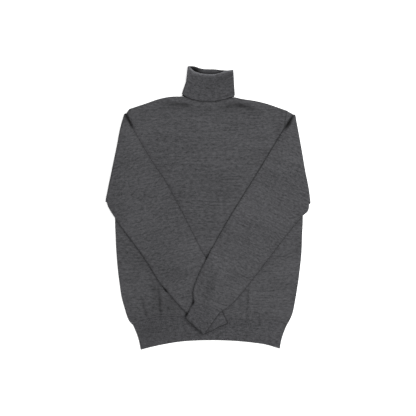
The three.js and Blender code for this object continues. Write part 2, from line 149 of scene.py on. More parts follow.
def addMesh(name, points, faces, uvs, marks=None):
    # points in millimetres, uvs in metres of cloth for each corner of each face
    triangles = np.vstack([faces[:, [0, 1, 2]], faces[:, [0, 2, 3]]])
    a, b, c = (points[triangles[:, k]] for k in range(3))
    if np.einsum("ij,ij->", a, np.cross(b, c)) < 0:
        faces = faces[:, ::-1]
        uvs = uvs[:, ::-1]
    mesh = bpy.data.meshes.new(name)
    mesh.from_pydata((points * mm).tolist(), [], faces.tolist())
    layer = mesh.uv_layers.new(name="knit")
    layer.data.foreach_set("uv", np.ascontiguousarray(uvs, dtype=np.float32).ravel())
    for label, values in (marks or {}).items():
        mark = mesh.attributes.new(label, "FLOAT", "POINT")
        mark.data.foreach_set("value", np.ascontiguousarray(values, dtype=np.float32).ravel())
    mesh.polygons.foreach_set("use_smooth", np.ones(len(mesh.polygons), dtype=bool))
    mesh.update()
    return placeObject(name, mesh)


def quads(a, b, c, d):
    return np.stack([a, b, c, d], -1).reshape(-1, 4)


def gridQuads(grid):
    return quads(grid[:-1, :-1], grid[:-1, 1:], grid[1:, 1:], grid[1:, :-1])


def wallFaces(outer, inner, loop):
    # quads of two grids of corners, and round their rims
    faces = [
        gridQuads(outer),
        quads(inner[:-1, :-1], inner[1:, :-1], inner[1:, 1:], inner[:-1, 1:]),
        quads(outer[0, :-1], inner[0, :-1], inner[0, 1:], outer[0, 1:]),
        quads(outer[-1, :-1], outer[-1, 1:], inner[-1, 1:], inner[-1, :-1]),
    ]
    if not loop:
        faces.append(quads(outer[:-1, 0], outer[1:, 0], inner[1:, 0], inner[:-1, 0]))
        faces.append(quads(outer[:-1, -1], inner[:-1, -1], inner[1:, -1], outer[1:, -1]))
    return np.vstack(faces)


def clothWall(name, outer, inner, uv, loop=False, marks=None):
    # two grids of points, rows by columns, joined into one closed wall of cloth
    count = outer.shape[0] * outer.shape[1]
    index = np.arange(count).reshape(outer.shape[:2])
    if loop:
        index = np.hstack([index, index[:, :1]])
    uvIndex = np.arange(uv.shape[0] * uv.shape[1]).reshape(uv.shape[:2])
    faces = wallFaces(index, index + count, loop)
    corners = wallFaces(uvIndex, uvIndex, loop)
    points = np.vstack([outer.reshape(-1, 3), inner.reshape(-1, 3)])
    return addMesh(name, points, faces, (uv.reshape(-1, 2) * mm)[corners], marks)


# Body: the front lies on the back, rolls down to it at the side and shoulder seams, and is
# drawn into small gathers above the hem rib
body = {
    "frontTop": 4.2, "frontUnder": 2.6, "backTop": 1.6,
    "edgeRoll": 4.5, "edgeTop": 2.4, "edgeUnder": 1.75,
    "seamDip": 0.35, "seamReach": 2.6, "grid": 3.4, "backGrid": 6.0,
    "waves": 0.34, "waveSize": 70,
    # painted shade along rolled edges and seams, and a painted shadow beneath the collar's edge, with its
    # reach
    "rollShade": 0.8, "seamShade": 0.5, "collarShade": 0.6, "collarReach": 2.2,
    "backKnit": 613,  # where on the cloth the back is cut, so that its yarn is not the front's
    "sides": [
        (-209.5, 220.5, -328), (-221, 228, -315), (-228, 235.5, -298), (-233, 240, -281),
        (-242, 246, -248), (-247, 251.5, -214), (-251.5, 256, -180), (-256, 261.5, -130),
        (-258.5, 263.5, -80), (-260, 265.5, -30),
    ],
    "armholeLeft": [(-219.8, 277.2), (-213, 230), (-214, 180), (-221, 120), (-236, 70), (-257.5, 36.5)],
    "armholeRight": [(219.8, 272.7), (213.5, 230), (215, 180), (224, 120), (241, 70), (264.5, 29)],
    "shoulderLeft": [(-219.8, 277.2), (-172, 293), (-139, 304.5), (-105, 311.4), (-73, 312)],
    "shoulderRight": [(74, 310), (97, 305), (130, 300), (164, 292), (219.8, 272.7)],
    "hemSeam": [
        (-209.5, -328), (-190, -317), (-162, -308), (-129, -303.5), (0, -304), (64, -308.5),
        (113, -312.5), (185, -313), (205, -318.5), (220.5, -328),
    ],
}
neck = {"halfWidth": 72, "level": 311, "tilt": -0.015, "frontDrop": 9, "backDrop": 3}
# the lower edge of the turned-down collar, along which the front gets a painted shadow
collarEdge = softTable([
    (-75, 317.5), (-68, 314.5), (-60, 309.5), (-47, 303.8), (-21, 298), (20, 298), (46, 303),
    (75, 312),
], 5)

# Soft folds: middle x and y, half length, half width, height, lean in degrees
frontFolds = [
    (-126, -262, 44, 6.5, 3.2, 2), (-150, -284, 24, 8, 1.3, -6), (-171, -281, 30, 6, 1.8, 8),
    (118, -258, 42, 7, 2.1, -4), (146, -288, 22, 8, 1.3, 3), (190, -262, 28, 8, 1.3, 6),
    (-96, 300, 11, 24, 1.9, -12), (-78, 272, 13, 36, 1.1, -12), (104, 299, 11, 24, 2.6, 18),
    (86, 264, 14, 40, 1.3, 18),
]
# Painted shade and light on the front and its rib, with a strength for the height: painted shade in
# hollows, broad soft painted shades, and painted light where it is below 0
paintedHollowShades = [
    (-86, 290, 7, 32, 0.72, -3), (-60, 288, 5, 15, 0.45, 0), (58, 286, 7, 15, 0.6, 14),
    (89, 287, 7, 17, 0.95, -8), (116, 280, 6, 19, 0.7, -20), (-135, -262, 46, 3.2, 0.6, 5),
    (-178, -277, 25, 3, 0.5, 20), (-151, -226, 44, 11, 0.32, 5), (112, -262, 40, 2.8, 0.3, -4),
    (184, -262, 26, 2.6, 0.2, 6),
    (-150, -296, 18, 48, 0.08, 0), (-110, -345, 34, 90, 0.15, 0), (-98, -306, 12, 32, 0.16, 0),
    (-25, 272, 14, 165, 0.2, 0), (-185, 249, 18, 30, 0.16, 15), (205, 244, 24, 30, 0.16, -15),
    (-110, -268, 24, 32, 0.4, 0), (-162, -330, 32, 26, 0.28, 0), (42, 46, 46, 58, 0.14, 0),
    (5, -48, 50, 22, 0.13, 0), (196, 219, 14, 9, 0.4, -31), (-76, 170, 30, 30, -0.12, 0),
    (225, -236, 28, 18, -0.1, 0),
]
# Painted shade and light the same way for the front and all that lies over it, sleeves and cuffs too:
# painted shade in pockets beside folds, broad soft painted shades, and painted light below 0
paintedPocketShades = [
    (-221.5, 245, 18, 3.6, 2.3, 31), (226, 236, 19, 3.8, 2.3, -31), (-119, -229, 8.5, 2.3, 2, 40),
    (-225, 262, 12, 6, 0.4, 0), (5, -232, 42, 14, 0.26, -12), (-256, 38, 75, 30, 0.13, 8),
    (112, -58, 62, 60, -0.1, 0), (262, 85, 55, 22, -0.12, -8), (-118, -6, 26, 28, -0.1, 0),
    (-72, -180, 46, 20, 0.16, 32), (-248, 190, 20, 14, 0.15, 10), (256, 160, 18, 12, 0.16, -8),
    (-41.5, -263, 8, 3.6, 1.3, -8), (-60, -297, 8, 3, 1.1, -35), (-3, -138, 9, 2.4, 0.6, -30),
    (-22, -342, 7, 2.6, 0.4, 48),
]
gathers = {
    "seed": 23, "first": -198, "last": 214, "spacing": (10, 23), "height": (0.3, 0.85),
    "width": (3.4, 6.0), "length": (20, 48), "lean": 5,
}

hemSeamCurve = curveThrough(body["hemSeam"])
hemSeamLine = hemSeamCurve(np.linspace(0, 1, 200))
hemSeamLevel = lambda x: np.interp(x, hemSeamLine[:, 0], hemSeamLine[:, 1])
frontWaves = softWaves(5, body["waveSize"])


def makeGathers():
    random = np.random.default_rng(gathers["seed"])
    x = gathers["first"]
    rows = []
    while x < gathers["last"]:
        rows.append((
            x, random.uniform(*gathers["length"]), random.uniform(*gathers["width"]),
            random.uniform(*gathers["height"]), random.uniform(-1, 1) * gathers["lean"]))
        x += random.uniform(*gathers["spacing"])
    return rows


gatherRows = makeGathers()


def gatherHeight(x, y):
    above = y - hemSeamLevel(x)
    height = np.zeros_like(x)
    for gatherX, length, width, rise, lean in gatherRows:
        across = (x - gatherX + above * math.tan(math.radians(lean))) / width
        height = height + rise * np.exp(-across ** 2 - (above / length) ** 2)
    return height * easeStep(above, 0, 6)


def frontLift(x, y):
    calm = easeStep(y - hemSeamLevel(x), 0, 30) * easeStep(248 - np.abs(x), 0, 26)
    calm = calm * easeStep(296 - 0.05 * np.abs(x) - y, 0, 30) * easeStep(np.hypot(x, y - 315), 88, 130)
    return foldHeight(frontFolds, x, y) + gatherHeight(x, y) + body["waves"] * calm * frontWaves(x, y)


def neckLine(x, drop):
    return neck["level"] + neck["tilt"] * x - drop * np.clip(1 - (x / neck["halfWidth"]) ** 2, 0, None)


def topEdge(u, drop):
    first, last = body["shoulderLeft"][0][0], body["shoulderRight"][-1][0]
    x = mix(first, last, u)
    reach = np.clip((np.abs(x) - neck["halfWidth"]) / (abs(first) - neck["halfWidth"]), 0, 1)
    left = curveThrough(body["shoulderLeft"])(1 - reach)
    right = curveThrough(body["shoulderRight"])(reach)
    middle = np.stack([x, neckLine(x, drop)], -1)
    shoulder = np.where((x < 0)[:, None], left, right)
    return np.where((np.abs(x) < neck["halfWidth"])[:, None], middle, shoulder)


def closeShares(length, grid, edges=(0, 0.5, 1.1, 1.9, 3.0, 4.6, 7.0)):
    # shares from 0 to 1, close together near both ends
    near = np.array(edges) / length
    middle = np.linspace(near[-1], 1 - near[-1], int(length / grid))
    return np.concatenate([near[:-1], middle, (1 - near[:-1])[::-1]])


def bodyRows(grid):
    # both ends of each row from hem seam to shoulder
    sides = np.array(body["sides"], float)
    wanted = np.concatenate([[-328, -327.4, -326.6, -325.4, -323.6, -321], np.arange(-318, -30, grid)])
    index = np.interp(wanted, sides[:, 2], np.arange(len(sides)))
    ends = []
    for column, key in ((0, "armholeLeft"), (1, "armholeRight")):
        armhole = curveThrough(body[key])
        points = np.vstack([sides[:, [column, 2]], armhole(np.array([1.0]))])
        steps = np.concatenate([index, np.arange(9, 10, grid / 62)])
        side = np.stack([softIndex(points[:, k], steps) for k in range(2)], -1)
        shares = closeShares(246, grid, (0, 0.6, 1.3, 2.2, 3.4, 5.0, 7.5))[::-1]
        ends.append(np.vstack([side, armhole(shares)]))
    return ends


def softIndex(values, index):
    # reads a list between its entries with a smooth line
    k = np.clip(index.astype(int), 0, len(values) - 2)
    t = index - k
    before = values[np.maximum(k - 1, 0)]
    a, b = values[k], values[k + 1]
    after = values[np.minimum(k + 2, len(values) - 1)]
    m1, m2 = (b - before) / 2, (after - a) / 2
    return a + m1 * t + (3 * (b - a) - 2 * m1 - m2) * t ** 2 + (2 * (a - b) + m1 + m2) * t ** 3


def bodyPlan(drop, grid):
    left, right = bodyRows(grid)
    u = closeShares(500, grid)
    bottom, top = hemSeamCurve(u), topEdge(u, drop)
    bottomBase = mix(bottom[:1], bottom[-1:], u[:, None])
    topBase = mix(top[:1], top[-1:], u[:, None])
    rise = ((left[:, 1] - bottom[0, 1]) / (top[0, 1] - bottom[0, 1]))[:, None, None]
    plan = mix(left[:, None], right[:, None], u[None, :, None])
    plan = plan + (1 - rise) ** 3 * (bottom - bottomBase) + rise ** 3 * (top - topBase)
    return plan[..., 0], plan[..., 1], u, top


def bodyEdges(x, y, u, top):
    # how near each point is to a side or shoulder seam, and to any other seam
    width = (x[:, -1] - x[:, 0])[:, None]
    side = np.minimum(u, 1 - u)[None] * width
    fade = easeStep(y[:, :1], 12, 34)
    sideRoll = roundedDrop(side, body["edgeRoll"]) * (1 - fade)
    shoulder = roundedDrop(top[None, :, 1] - y, body["edgeRoll"])
    shoulderRoll = shoulder * easeStep(np.abs(x), neck["halfWidth"], neck["halfWidth"] + 8)
    roll = np.maximum(sideRoll, shoulderRoll)
    below = y - y[:1]
    reach = body["seamReach"]
    dip = np.maximum(roundedDrop(side, reach) * fade, roundedDrop(below, reach))
    return roll, dip


def bodyFront():
    x, y, u, top = bodyPlan(neck["frontDrop"], body["grid"])
    roll, dip = bodyEdges(x, y, u, top)
    lift = frontLift(x, y)
    outer = body["frontTop"] + lift * (1 - roll) - (body["frontTop"] - body["edgeTop"]) * roll
    inner = body["frontUnder"] + lift * (1 - roll) - (body["frontUnder"] - body["edgeUnder"]) * roll
    outer = outer - body["seamDip"] * dip
    uv = np.stack([x, y], -1)
    # painted shadow beneath the collar's edge, painted shade along rolled edges and seams, and the painted
    # shade and painted light of both tables
    below = np.where(np.abs(x) < neck["halfWidth"] + 2, collarEdge(x) - y, 99)
    beside = body["collarShade"] * np.exp(-(np.abs(below - 0.6) / body["collarReach"]) ** 2)
    shade = np.maximum(np.maximum(body["rollShade"] * roll, body["seamShade"] * dip), beside)
    shade = shade + foldHeight(paintedHollowShades, x, y) + foldHeight(paintedPocketShades, x, y)
    paintedShading = np.clip(shade, -0.3, 1.4).ravel()
    return clothWall(
        "bodyFrontKnit", np.stack([x, y, outer], -1), np.stack([x, y, inner], -1), uv,
        marks={"paintedShading": np.concatenate([paintedShading, 0 * paintedShading])})


def bodyBack():
    x, y, u, top = bodyPlan(neck["backDrop"], body["backGrid"])
    roll, dip = bodyEdges(x, y, u, top)
    outer = body["backTop"] - 0.1 * roll
    inner = 0.8 * roll + body["seamDip"] * dip
    uv = np.stack([x + body["backKnit"], y], -1)
    return clothWall("bodyBackKnit", np.stack([x, y, outer], -1), np.stack([x, y, inner], -1), uv)


# Hem rib, front and back
hem = {
    "ribs": 88, "pitch": 4.4, "perRib": 8, "rows": 16, "height": 68, "gap": 0.12, "bulge": 3,
    "frontTop": 4.4, "frontUnder": 2.2, "backTop": 1.7, "foldReach": 24,
    # painted shade along the rib's sides, its lower edge and its seam
    "sideShade": 0.7, "edgeShade": 0.4,
    "edge": [
        (-188, -396.5), (-155, -388), (-122, -381), (-71, -373.2), (-4, -370), (63, -371.2),
        (113, -375.2), (164, -382.5), (201, -393.5),
    ],
}


def hemPlan():
    u = np.linspace(0, 1, hem["ribs"] * hem["perRib"] + 1)
    middle = np.linspace(0.07, 0.95, hem["rows"])
    down = np.concatenate([[0, 0.008, 0.02, 0.04], middle, [0.97, 0.985, 0.995, 1]])
    seam = hemSeamCurve(u) - np.array([0, hem["gap"]])
    plan = mix(seam[None], curveThrough(hem["edge"])(u)[None], down[:, None, None])
    pull = hem["bulge"] * np.sin(math.pi * down)[:, None] * (2 * u - 1) ** 7
    return plan[..., 0] - pull, plan[..., 1], u, down


def hemRib(name, front):
    x, y, u, down = hemPlan()
    width = (x[:, -1] - x[:, 0])[:, None]
    side = roundedDrop(np.minimum(u, 1 - u)[None] * width, 4.0)
    below = down[:, None] * hem["height"]
    edge = roundedDrop((1 - down)[:, None] * hem["height"], 2.2) + 0 * x
    seam = roundedDrop(below, 2.0) + 0 * x
    proud = ((1 - side) * (1 - edge) * (1 - seam)).ravel()
    if front:
        lift = foldHeight(frontFolds, x, y) * np.exp(-(below / hem["foldReach"]) ** 2) * (1 - side)
        outer = hem["frontTop"] + lift - 1.9 * side - 1.0 * np.maximum(edge, 0.5 * seam) * (1 - side)
        inner = hem["frontUnder"] + lift - 0.4 * side
        proud = np.concatenate([proud, 0 * proud])
    else:
        outer = hem["backTop"] - 0.1 * side + 0 * x
        inner = 0.8 * side + 0.5 * np.maximum(edge, 0.5 * seam) * (1 - side)
        proud = np.concatenate([0 * proud, proud])
    across = np.tile((u * hem["ribs"] * hem["pitch"] * mm)[None], (len(down), 1)).ravel()
    # painted shade along the sides, edge and seam, and on the front the painted shade and painted light of
    # the front's table
    paintedShading = np.maximum(hem["sideShade"] * side, hem["edgeShade"] * np.maximum(edge, seam))
    paintedShading = np.clip(paintedShading + front * foldHeight(paintedHollowShades, x, y), -0.3, 1).ravel()
    uv = np.stack([u[None] * hem["ribs"] * hem["pitch"] + 0 * x, y + 0 * x], -1)
    return clothWall(
        name, np.stack([x, y, outer], -1), np.stack([x, y, inner], -1), uv,
        marks={
            "across": np.concatenate([across, across]), "proud": proud,
            "paintedShading": np.concatenate([paintedShading, paintedShading])})


# Sleeves: flattened tubes that leave the armhole flat on the surface, turn up round an
# outer fold and lie over the front, each with its cuff
sleeve = {
    "half": 2.1, "hollow": 0.5, "ease": 6.0, "gap": 0.1, "clearance": 0.8, "foldRadius": 2.5,
    "columns": 40, "stationStep": 4.6, "ribRelief": 0.5, "waves": 0.3,
    "drape": (7, 34), "cuffDrape": (1.5, 13),  # how the upper one comes down beside the lower one
    "cuffRows": 14, "cuffPitch": 4.4, "cuffPerRib": 8, "cuffLength": 52, "cuffGap": 0.08,
    # painted shade round the outer fold, and how far the painted shade along the edges reaches
    "foldShade": 0.4, "paintedShadeReach": 1.9, "lowerStations": 7,
    "squeeze": 1.2, "wander": 1.9, "wanderSize": 75,  # how unevenly the knit lies on the tube
}
rightSleeve = {
    "outward": -1, "armhole": "armholeLeft",
    "fold": [(-234, 265), (-246, 222), (-255.5, 172), (-266, 121.5), (-276.5, 71), (-287.5, 17)],
    "overArm": [
        (-213, 229.5), (-158, 135), (-120.5, 78.5), (-84, 12), (-50, -54), (-13, -126),
        (19.5, -179), (32, -208.5), (36, -232), (31, -267.5),
    ],
    "underArm": [
        (-279, 3.5), (-253.5, -37), (-215, -89), (-172, -148.5), (-137.5, -204.5),
        (-105.5, -243), (-78, -275), (-54.5, -298),
    ],
    "cuffEnd": [(56, -322), (-11, -353)],
    "folds": [(-96, -205, 44, 13, 1.4, 36), (-205, 120, 70, 22, 1.2, 12)],
    "seed": 31, "askew": 17,
    # painted shade along the over-arm and under-arm edges, the cuff's two sides and the cuff's end
    "edgeShade": (0.95, 0.5), "cuffShade": (1.2, 0.8), "endShade": 1.1,
}
leftSleeve = {
    "outward": 1, "armhole": "armholeRight",
    "fold": [
        (244.5, 262), (248.5, 238), (254.5, 206), (263.5, 155.5), (272, 105), (282, 54.5),
        (287.5, 12),
    ],
    "overArm": [
        (213, 221), (159.5, 133), (126, 78.5), (75, -3), (19.5, -98), (-4, -142),
        (-22.5, -179), (-34.5, -208.5), (-41, -233), (-40, -260.5),
    ],
    "underArm": [
        (279.5, -8), (266.5, -20.5), (247, -42.5), (210, -89), (159, -156), (112, -216.5),
        (82, -253.5), (65.5, -270), (34, -291),
    ],
    "cuffEnd": [(-63, -306.5), (-10, -353.5)],
    "folds": [(16, -230, 58, 13, 2.4, -18), (92, -170, 60, 16, 1.3, -38), (214, 110, 75, 24, 1.2, -10)],
    "seed": 47, "askew": 10,
    # painted shade along the over-arm and under-arm edges, the cuff's two sides and the cuff's end
    "edgeShade": (0.25, 1), "cuffShade": (0.6, 1.1), "endShade": 0.15,
}


foldAngles = range(0, 181, 15)  # round the outer fold, from the lower layer to the upper one


def outlineDistance(x, y, outline):
    # distance from points to an outline, negative inside it
    nearest = np.full(x.shape, np.inf)
    inside = np.zeros(x.shape, bool)
    for (ax, ay), (bx, by) in zip(outline, outline[1:] + outline[:1]):
        dx, dy = bx - ax, by - ay
        share = np.clip(((x - ax) * dx + (y - ay) * dy) / (dx * dx + dy * dy), 0, 1)
        nearest = np.minimum(nearest, np.hypot(x - ax - share * dx, y - ay - share * dy))
        crossing = ax + ((y - ay) / (dy if dy else 1e-9)) * dx
        inside ^= ((ay > y) != (by > y)) & (x < crossing)
    return np.where(inside, -nearest, nearest)


rightOutline = (
    rightSleeve["fold"] + rightSleeve["underArm"] + rightSleeve["cuffEnd"][::-1]
    + rightSleeve["overArm"][::-1])
rightWaves = softWaves(rightSleeve["seed"], 64)
leftWaves = softWaves(leftSleeve["seed"], 64)


def restOnFront(x, y):
    return body["frontTop"] + sleeve["clearance"] + frontLift(x, y)


def restRightSleeve(x, y):
    waves = sleeve["waves"] * (1 + rightWaves(x, y)) / 2
    return restOnFront(x, y) + foldHeight(rightSleeve["folds"], x, y) + waves


def restLeftSleeve(x, y, drape=sleeve["drape"]):
    away = outlineDistance(x, y, rightOutline)
    lift = 2 * sleeve["half"] + sleeve["ribRelief"] + sleeve["clearance"]
    waves = sleeve["waves"] * (1 + leftWaves(x, y)) / 2
    below = restRightSleeve(x, y) + lift * (1 - easeStep(away, *drape))
    return below + foldHeight(leftSleeve["folds"], x, y) + waves


def restLeftCuff(x, y):
    return restLeftSleeve(x, y, sleeve["cuffDrape"])


def sleeveStations(cut, rest):
    # each station gives, across the tube's middle for shares t, points, normals and the
    # places of those points on the unfolded sleeve
    armhole = curveThrough(body[cut["armhole"]])
    fold = curveThrough(cut["fold"])
    outward, radius, half = cut["outward"], sleeve["foldRadius"], sleeve["half"]
    ends = fold(np.array([0.0, 1.0]))
    run = (ends[1] - ends[0]) / np.linalg.norm(ends[1] - ends[0])
    out = np.array([-outward * run[1], outward * run[0]])
    foot = lambda t: fold(t) - out * (radius + half)
    footEnds = foot(np.array([0.0, 1.0]))
    over = curveThrough([tuple(footEnds[0])] + cut["overArm"])
    under = curveThrough([tuple(footEnds[1])] + cut["underArm"])
    last = (over(np.array([1.0]))[0], under(np.array([1.0]))[0])
    stations = []

    def lower(s):
        def place(t):
            start = armhole(t) + np.array([outward * sleeve["gap"], 0])
            plan = mix(start, foot(t), s)
            beyond = ((foot(t) - plan) @ out)[:, None]
            flat = plan + out * (2 * beyond + math.pi * radius)
            return np.column_stack([plan, np.full(len(t), half)]), np.tile([0, 0, -1.0], (len(t), 1)), flat
        return place

    def turning(angle):
        def place(t):
            plan = foot(t) + out * radius * math.sin(angle)
            level = half + radius * (1 - math.cos(angle))
            normal = [out[0] * math.sin(angle), out[1] * math.sin(angle), -math.cos(angle)]
            flat = foot(t) + out * radius * (math.pi - angle)
            return np.column_stack([plan, np.full(len(t), level)]), np.tile(normal, (len(t), 1)), flat
        return place

    def upper(s):
        def place(t):
            share = t[:, None]
            edgeOver, edgeUnder = over(np.array([s]))[0], under(np.array([s]))[0]
            sides = mix(edgeOver, edgeUnder, share)
            ends = mix(foot(t), mix(last[0], last[1], share), s)
            corner = mix(mix(footEnds[0], footEnds[1], share), mix(last[0], last[1], share), s)
            plan = sides + ends - corner
            level = rest(plan[:, 0], plan[:, 1]) + half
            return np.column_stack([plan, level]), np.tile([0, 0, 1.0], (len(t), 1)), plan
        return place

    stations += [lower(s) for s in np.linspace(0, 0.92, sleeve["lowerStations"])]
    stations += [turning(math.radians(angle)) for angle in foldAngles]
    length = np.linalg.norm(last[0] - footEnds[0])
    first = 3.0 / length
    steps = np.linspace(first, 1, int(length / sleeve["stationStep"]))
    stations += [upper(s) for s in np.concatenate([[first / 3], steps])]
    return stations


def tubeShape(columns, half, inset=0.0):
    # a flattened tube in section: how its rounded sides start, and shares across its faces
    arc = np.radians([0, 18, 36, 54, 72])
    return {
        "half": half, "inset": inset, "nose": inset + half * (1 - np.cos(arc)),
        "face": np.linspace(0, 1, columns + 1)}


def roundSide(half, edge, reach):
    return half * np.sqrt(1 - (1 - np.clip(edge / reach, 0, 1)) ** 2)


def tubeRing(place, shape, thin=0.0):
    # one ring of points: the face that shows, then the hidden one
    ends, _, _ = place(np.array([0.0, 1.0]))
    length = np.linalg.norm(ends[1, :2] - ends[0, :2])
    depth, half, nose = sleeve["half"], shape["half"], shape["nose"]
    face = depth + shape["face"] * (length - 2 * depth)
    reach = np.concatenate([nose, face, length - nose[::-1], face[::-1], nose[:0:-1]])
    edge = np.minimum(reach, length - reach) - shape["inset"]
    hidden = np.arange(len(reach)) >= 2 * len(nose) + len(face) - 1
    height = np.where(hidden, -roundSide(half, edge, half), roundSide(half, edge, sleeve["ease"]))
    points, normals, flat = place(np.clip(reach / length, 0, 1))
    return points + normals * (height * (1 - thin))[:, None], reach, length, flat


def tubeWall(name, places, columns, cut, sideShade, thins, paintedRingShade, marks=None):
    # the knit runs askew of the sleeve, thins flattens whole rings, and the last list gives painted shade
    # for whole rings
    axis = sleeveAxis(cut)
    wander = softWaves(cut["seed"] + 1, sleeve["wanderSize"])
    turned = np.array([-axis[1], axis[0]]) * sleeve["squeeze"]
    outerShape = tubeShape(columns, sleeve["half"])
    innerShape = tubeShape(columns, sleeve["hollow"], sleeve["half"] - sleeve["hollow"])
    outer, inner, uv, paintedShading = [], [], [], []
    for place, thin, ringShade in zip(places, thins, paintedRingShade):
        ring, reach, length, flat = tubeRing(place, outerShape, thin)
        hollow, _, _, _ = tubeRing(place, innerShape)
        outer.append(ring)
        inner.append(hollow)
        knit = np.column_stack([flat @ turned, -flat @ axis])
        knit[:, 1] += sleeve["wander"] * wander(flat[:, 0], flat[:, 1])
        uv.append(np.vstack([knit, knit[:1]]))
        # painted shade along both sides and over whole rings, and the painted shade and painted light of
        # the table that every upper layer takes
        edge = np.minimum(reach, length - reach) / sleeve["paintedShadeReach"]
        shade = np.where(reach < length / 2, *sideShade) * np.exp(-edge ** 2)
        shade = np.maximum(shade, ringShade)
        shade = shade + foldHeight(paintedPocketShades, ring[:, 0], ring[:, 1])
        paintedShading.append(np.clip(shade, -0.3, 1.4))
    shade = np.array(paintedShading).ravel()
    marks = {**(marks or {}), "paintedShading": np.concatenate([shade, 0 * shade])}
    return clothWall(name, np.array(outer), np.array(inner), np.array(uv), loop=True, marks=marks)


def sleeveAxis(cut):
    start = np.mean([cut["fold"][0], cut["fold"][-1]], axis=0)
    end = np.mean([cut["overArm"][-1], cut["underArm"][-1]], axis=0)
    angle = math.atan2(*(end - start)[::-1]) + math.radians(cut["outward"] * cut["askew"])
    return np.array([math.cos(angle), math.sin(angle)])


def sleeveTube(name, cut, rest):
    places = sleeveStations(cut, rest)
    paintedRingShade = np.zeros(len(places))
    angles = np.radians(foldAngles)
    first = sleeve["lowerStations"]
    # painted shade round the outer fold
    paintedRingShade[first:first + len(angles)] = sleeve["foldShade"] * np.sin(angles)
    return tubeWall(name, places, sleeve["columns"], cut, cut["edgeShade"], 0 * paintedRingShade, paintedRingShade)


def cuffTube(name, cut, rest):
    seam = np.array([cut["overArm"][-1], cut["underArm"][-1]], float)
    end = np.array(cut["cuffEnd"], float)
    along = (end[0] - seam[0]) / np.linalg.norm(end[0] - seam[0])
    width = np.linalg.norm(seam[1] - seam[0])
    ribs = int(round(width / sleeve["cuffPitch"]))
    half, height = sleeve["half"], sleeve["cuffLength"]

    def station(s):
        def place(t):
            start = mix(seam[0], seam[1], t[:, None]) + along * sleeve["cuffGap"]
            plan = mix(start, mix(end[0], end[1], t[:, None]), s)
            level = rest(plan[:, 0], plan[:, 1]) + half
            return np.column_stack([plan, level]), np.tile([0, 0, 1.0], (len(t), 1)), plan
        return place

    middle = np.linspace(0.06, 0.95, sleeve["cuffRows"])
    shares = np.concatenate([[0, 0.012, 0.03], middle, [0.97, 0.985, 0.995, 1]])
    toEnd, toSeam = (1 - shares) * height, shares * height
    thins = 0.22 * np.maximum(roundedDrop(toEnd, 2.4), 0.3 * roundedDrop(toSeam, 1.4))
    columns = ribs * sleeve["cuffPerRib"]
    places = [station(s) for s in shares]
    shape = tubeShape(columns, half)
    rings, marks = [], []
    for s, place in zip(shares, places):
        _, reach, length, _ = tubeRing(place, shape)
        calm = np.clip(np.minimum(reach, length - reach) / 2.0, 0, 1)
        calm = calm * easeStep(s * height, 0.5, 2.5) * easeStep((1 - s) * height, 0.3, 2.2)
        rings.append((reach - half) / (length - 2 * half) * ribs * sleeve["cuffPitch"] * mm)
        marks.append(calm)
    across, proud = np.array(rings).ravel(), np.array(marks).ravel()
    # painted shade along the cuff's end
    paintedRingShade = cut["endShade"] * np.exp(-(toEnd / sleeve["paintedShadeReach"]) ** 2)
    return tubeWall(name, places, columns, cut, cut["cuffShade"], thins, paintedRingShade, marks={
        "across": np.concatenate([across, across]), "proud": np.concatenate([proud, 0 * proud])})


# Collar: a ribbed tube turned down over itself, so four layers lie on each other
collar = {
    "wall": 1.7, "layerGap": 0.6, "endShare": 0.93, "relief": 0.5, "pitch": 4.4, "perRib": 8,
    "faceRibs": 31, "endRibs": 4, "backEdge": 323, "foldLevel": 388, "turnedHeight": 70,
    "left": [(300, -75), (314, -75), (333, -69), (352, -62), (398, -56.6)],
    "right": [(300, 76), (314, 75.8), (333, 74.2), (352, 73.2), (398, 70.6)],
    "backFold": [
        (-57, 397.6), (-39, 397), (-25, 392), (-12, 389), (20, 388.4), (45, 385.4), (58, 384.8),
        (69, 386.6),
    ],
    "frontFold": [
        (-57, 396.5), (-52, 394), (-47, 389.8), (-41, 384), (-33, 379.6), (-22, 376.8), (-8, 374.6),
        (6, 373.6), (20, 374.2), (34, 377.4), (46, 382.2), (58, 384.4), (69, 386),
    ],
    "standBack": [(296, 1.7), (308, 1.7), (312, 2), (320, 4.1), (398, 4.1)],
    "standFront": [(296, 2.5), (308, 2.6), (313, 3.3), (323, 5.2), (350, 7.2), (372, 9.6), (398, 11.6)],
    "folds": [(36, 364, 34, 7, 1.5, -63), (-48, 362, 16, 9, 0.9, 12), (10, 336, 30, 10, 0.7, -58)],
    "waves": 0.25, "seed": 71,
    # painted shade inside the mouth, a darker tone and painted shade over the turned-down face, painted
    # shade at the ends and along the lower edge, and a painted highlight along the fold
    "mouthTone": 0.14, "mouthDepth": 3.2, "mouthFold": 1.2,
    "mouthShade": [(-38, 389, 9, 13, 0.8, 0), (-33, 384, 17, 5, 1, 60)],
    "faceTone": 0.08, "faceShade": [(34, 358, 6, 27, 0.3, 27), (62, 372, 12, 8, 0.15, 0)],
    "rimLight": 1.85, "rimReach": 3.0, "endShade": 0.6, "edgeShade": 1.05,
    "rimGlow": [(-54, 384, 20, 8, 0.6, -8), (-37, 382, 14, 4.5, 0.8, 57)],
}
collarOut = 2 * collar["wall"] + collar["layerGap"]
collarRoll = collarOut / 2


def collarColumns():
    # across from -1 to 1, side 1 on the front and -1 on the back, and the rib count so far
    per, faceRibs, endRibs = collar["perRib"], collar["faceRibs"], collar["endRibs"]
    share = np.arange(faceRibs * per) / (faceRibs * per)
    turn = np.arange(endRibs * per) / (endRibs * per)
    end = collar["endShare"]

    rightEnd = end + (1 - end) * np.sin(turn * math.pi), np.cos(turn * math.pi)
    leftEnd = -rightEnd[0], -rightEnd[1]
    across = np.concatenate([end * (2 * share - 1), rightEnd[0], end * (1 - 2 * share), leftEnd[0]])
    side = np.concatenate([1 + 0 * share, rightEnd[1], -1 + 0 * share, leftEnd[1]])
    return across, side, np.arange(len(across)) / per


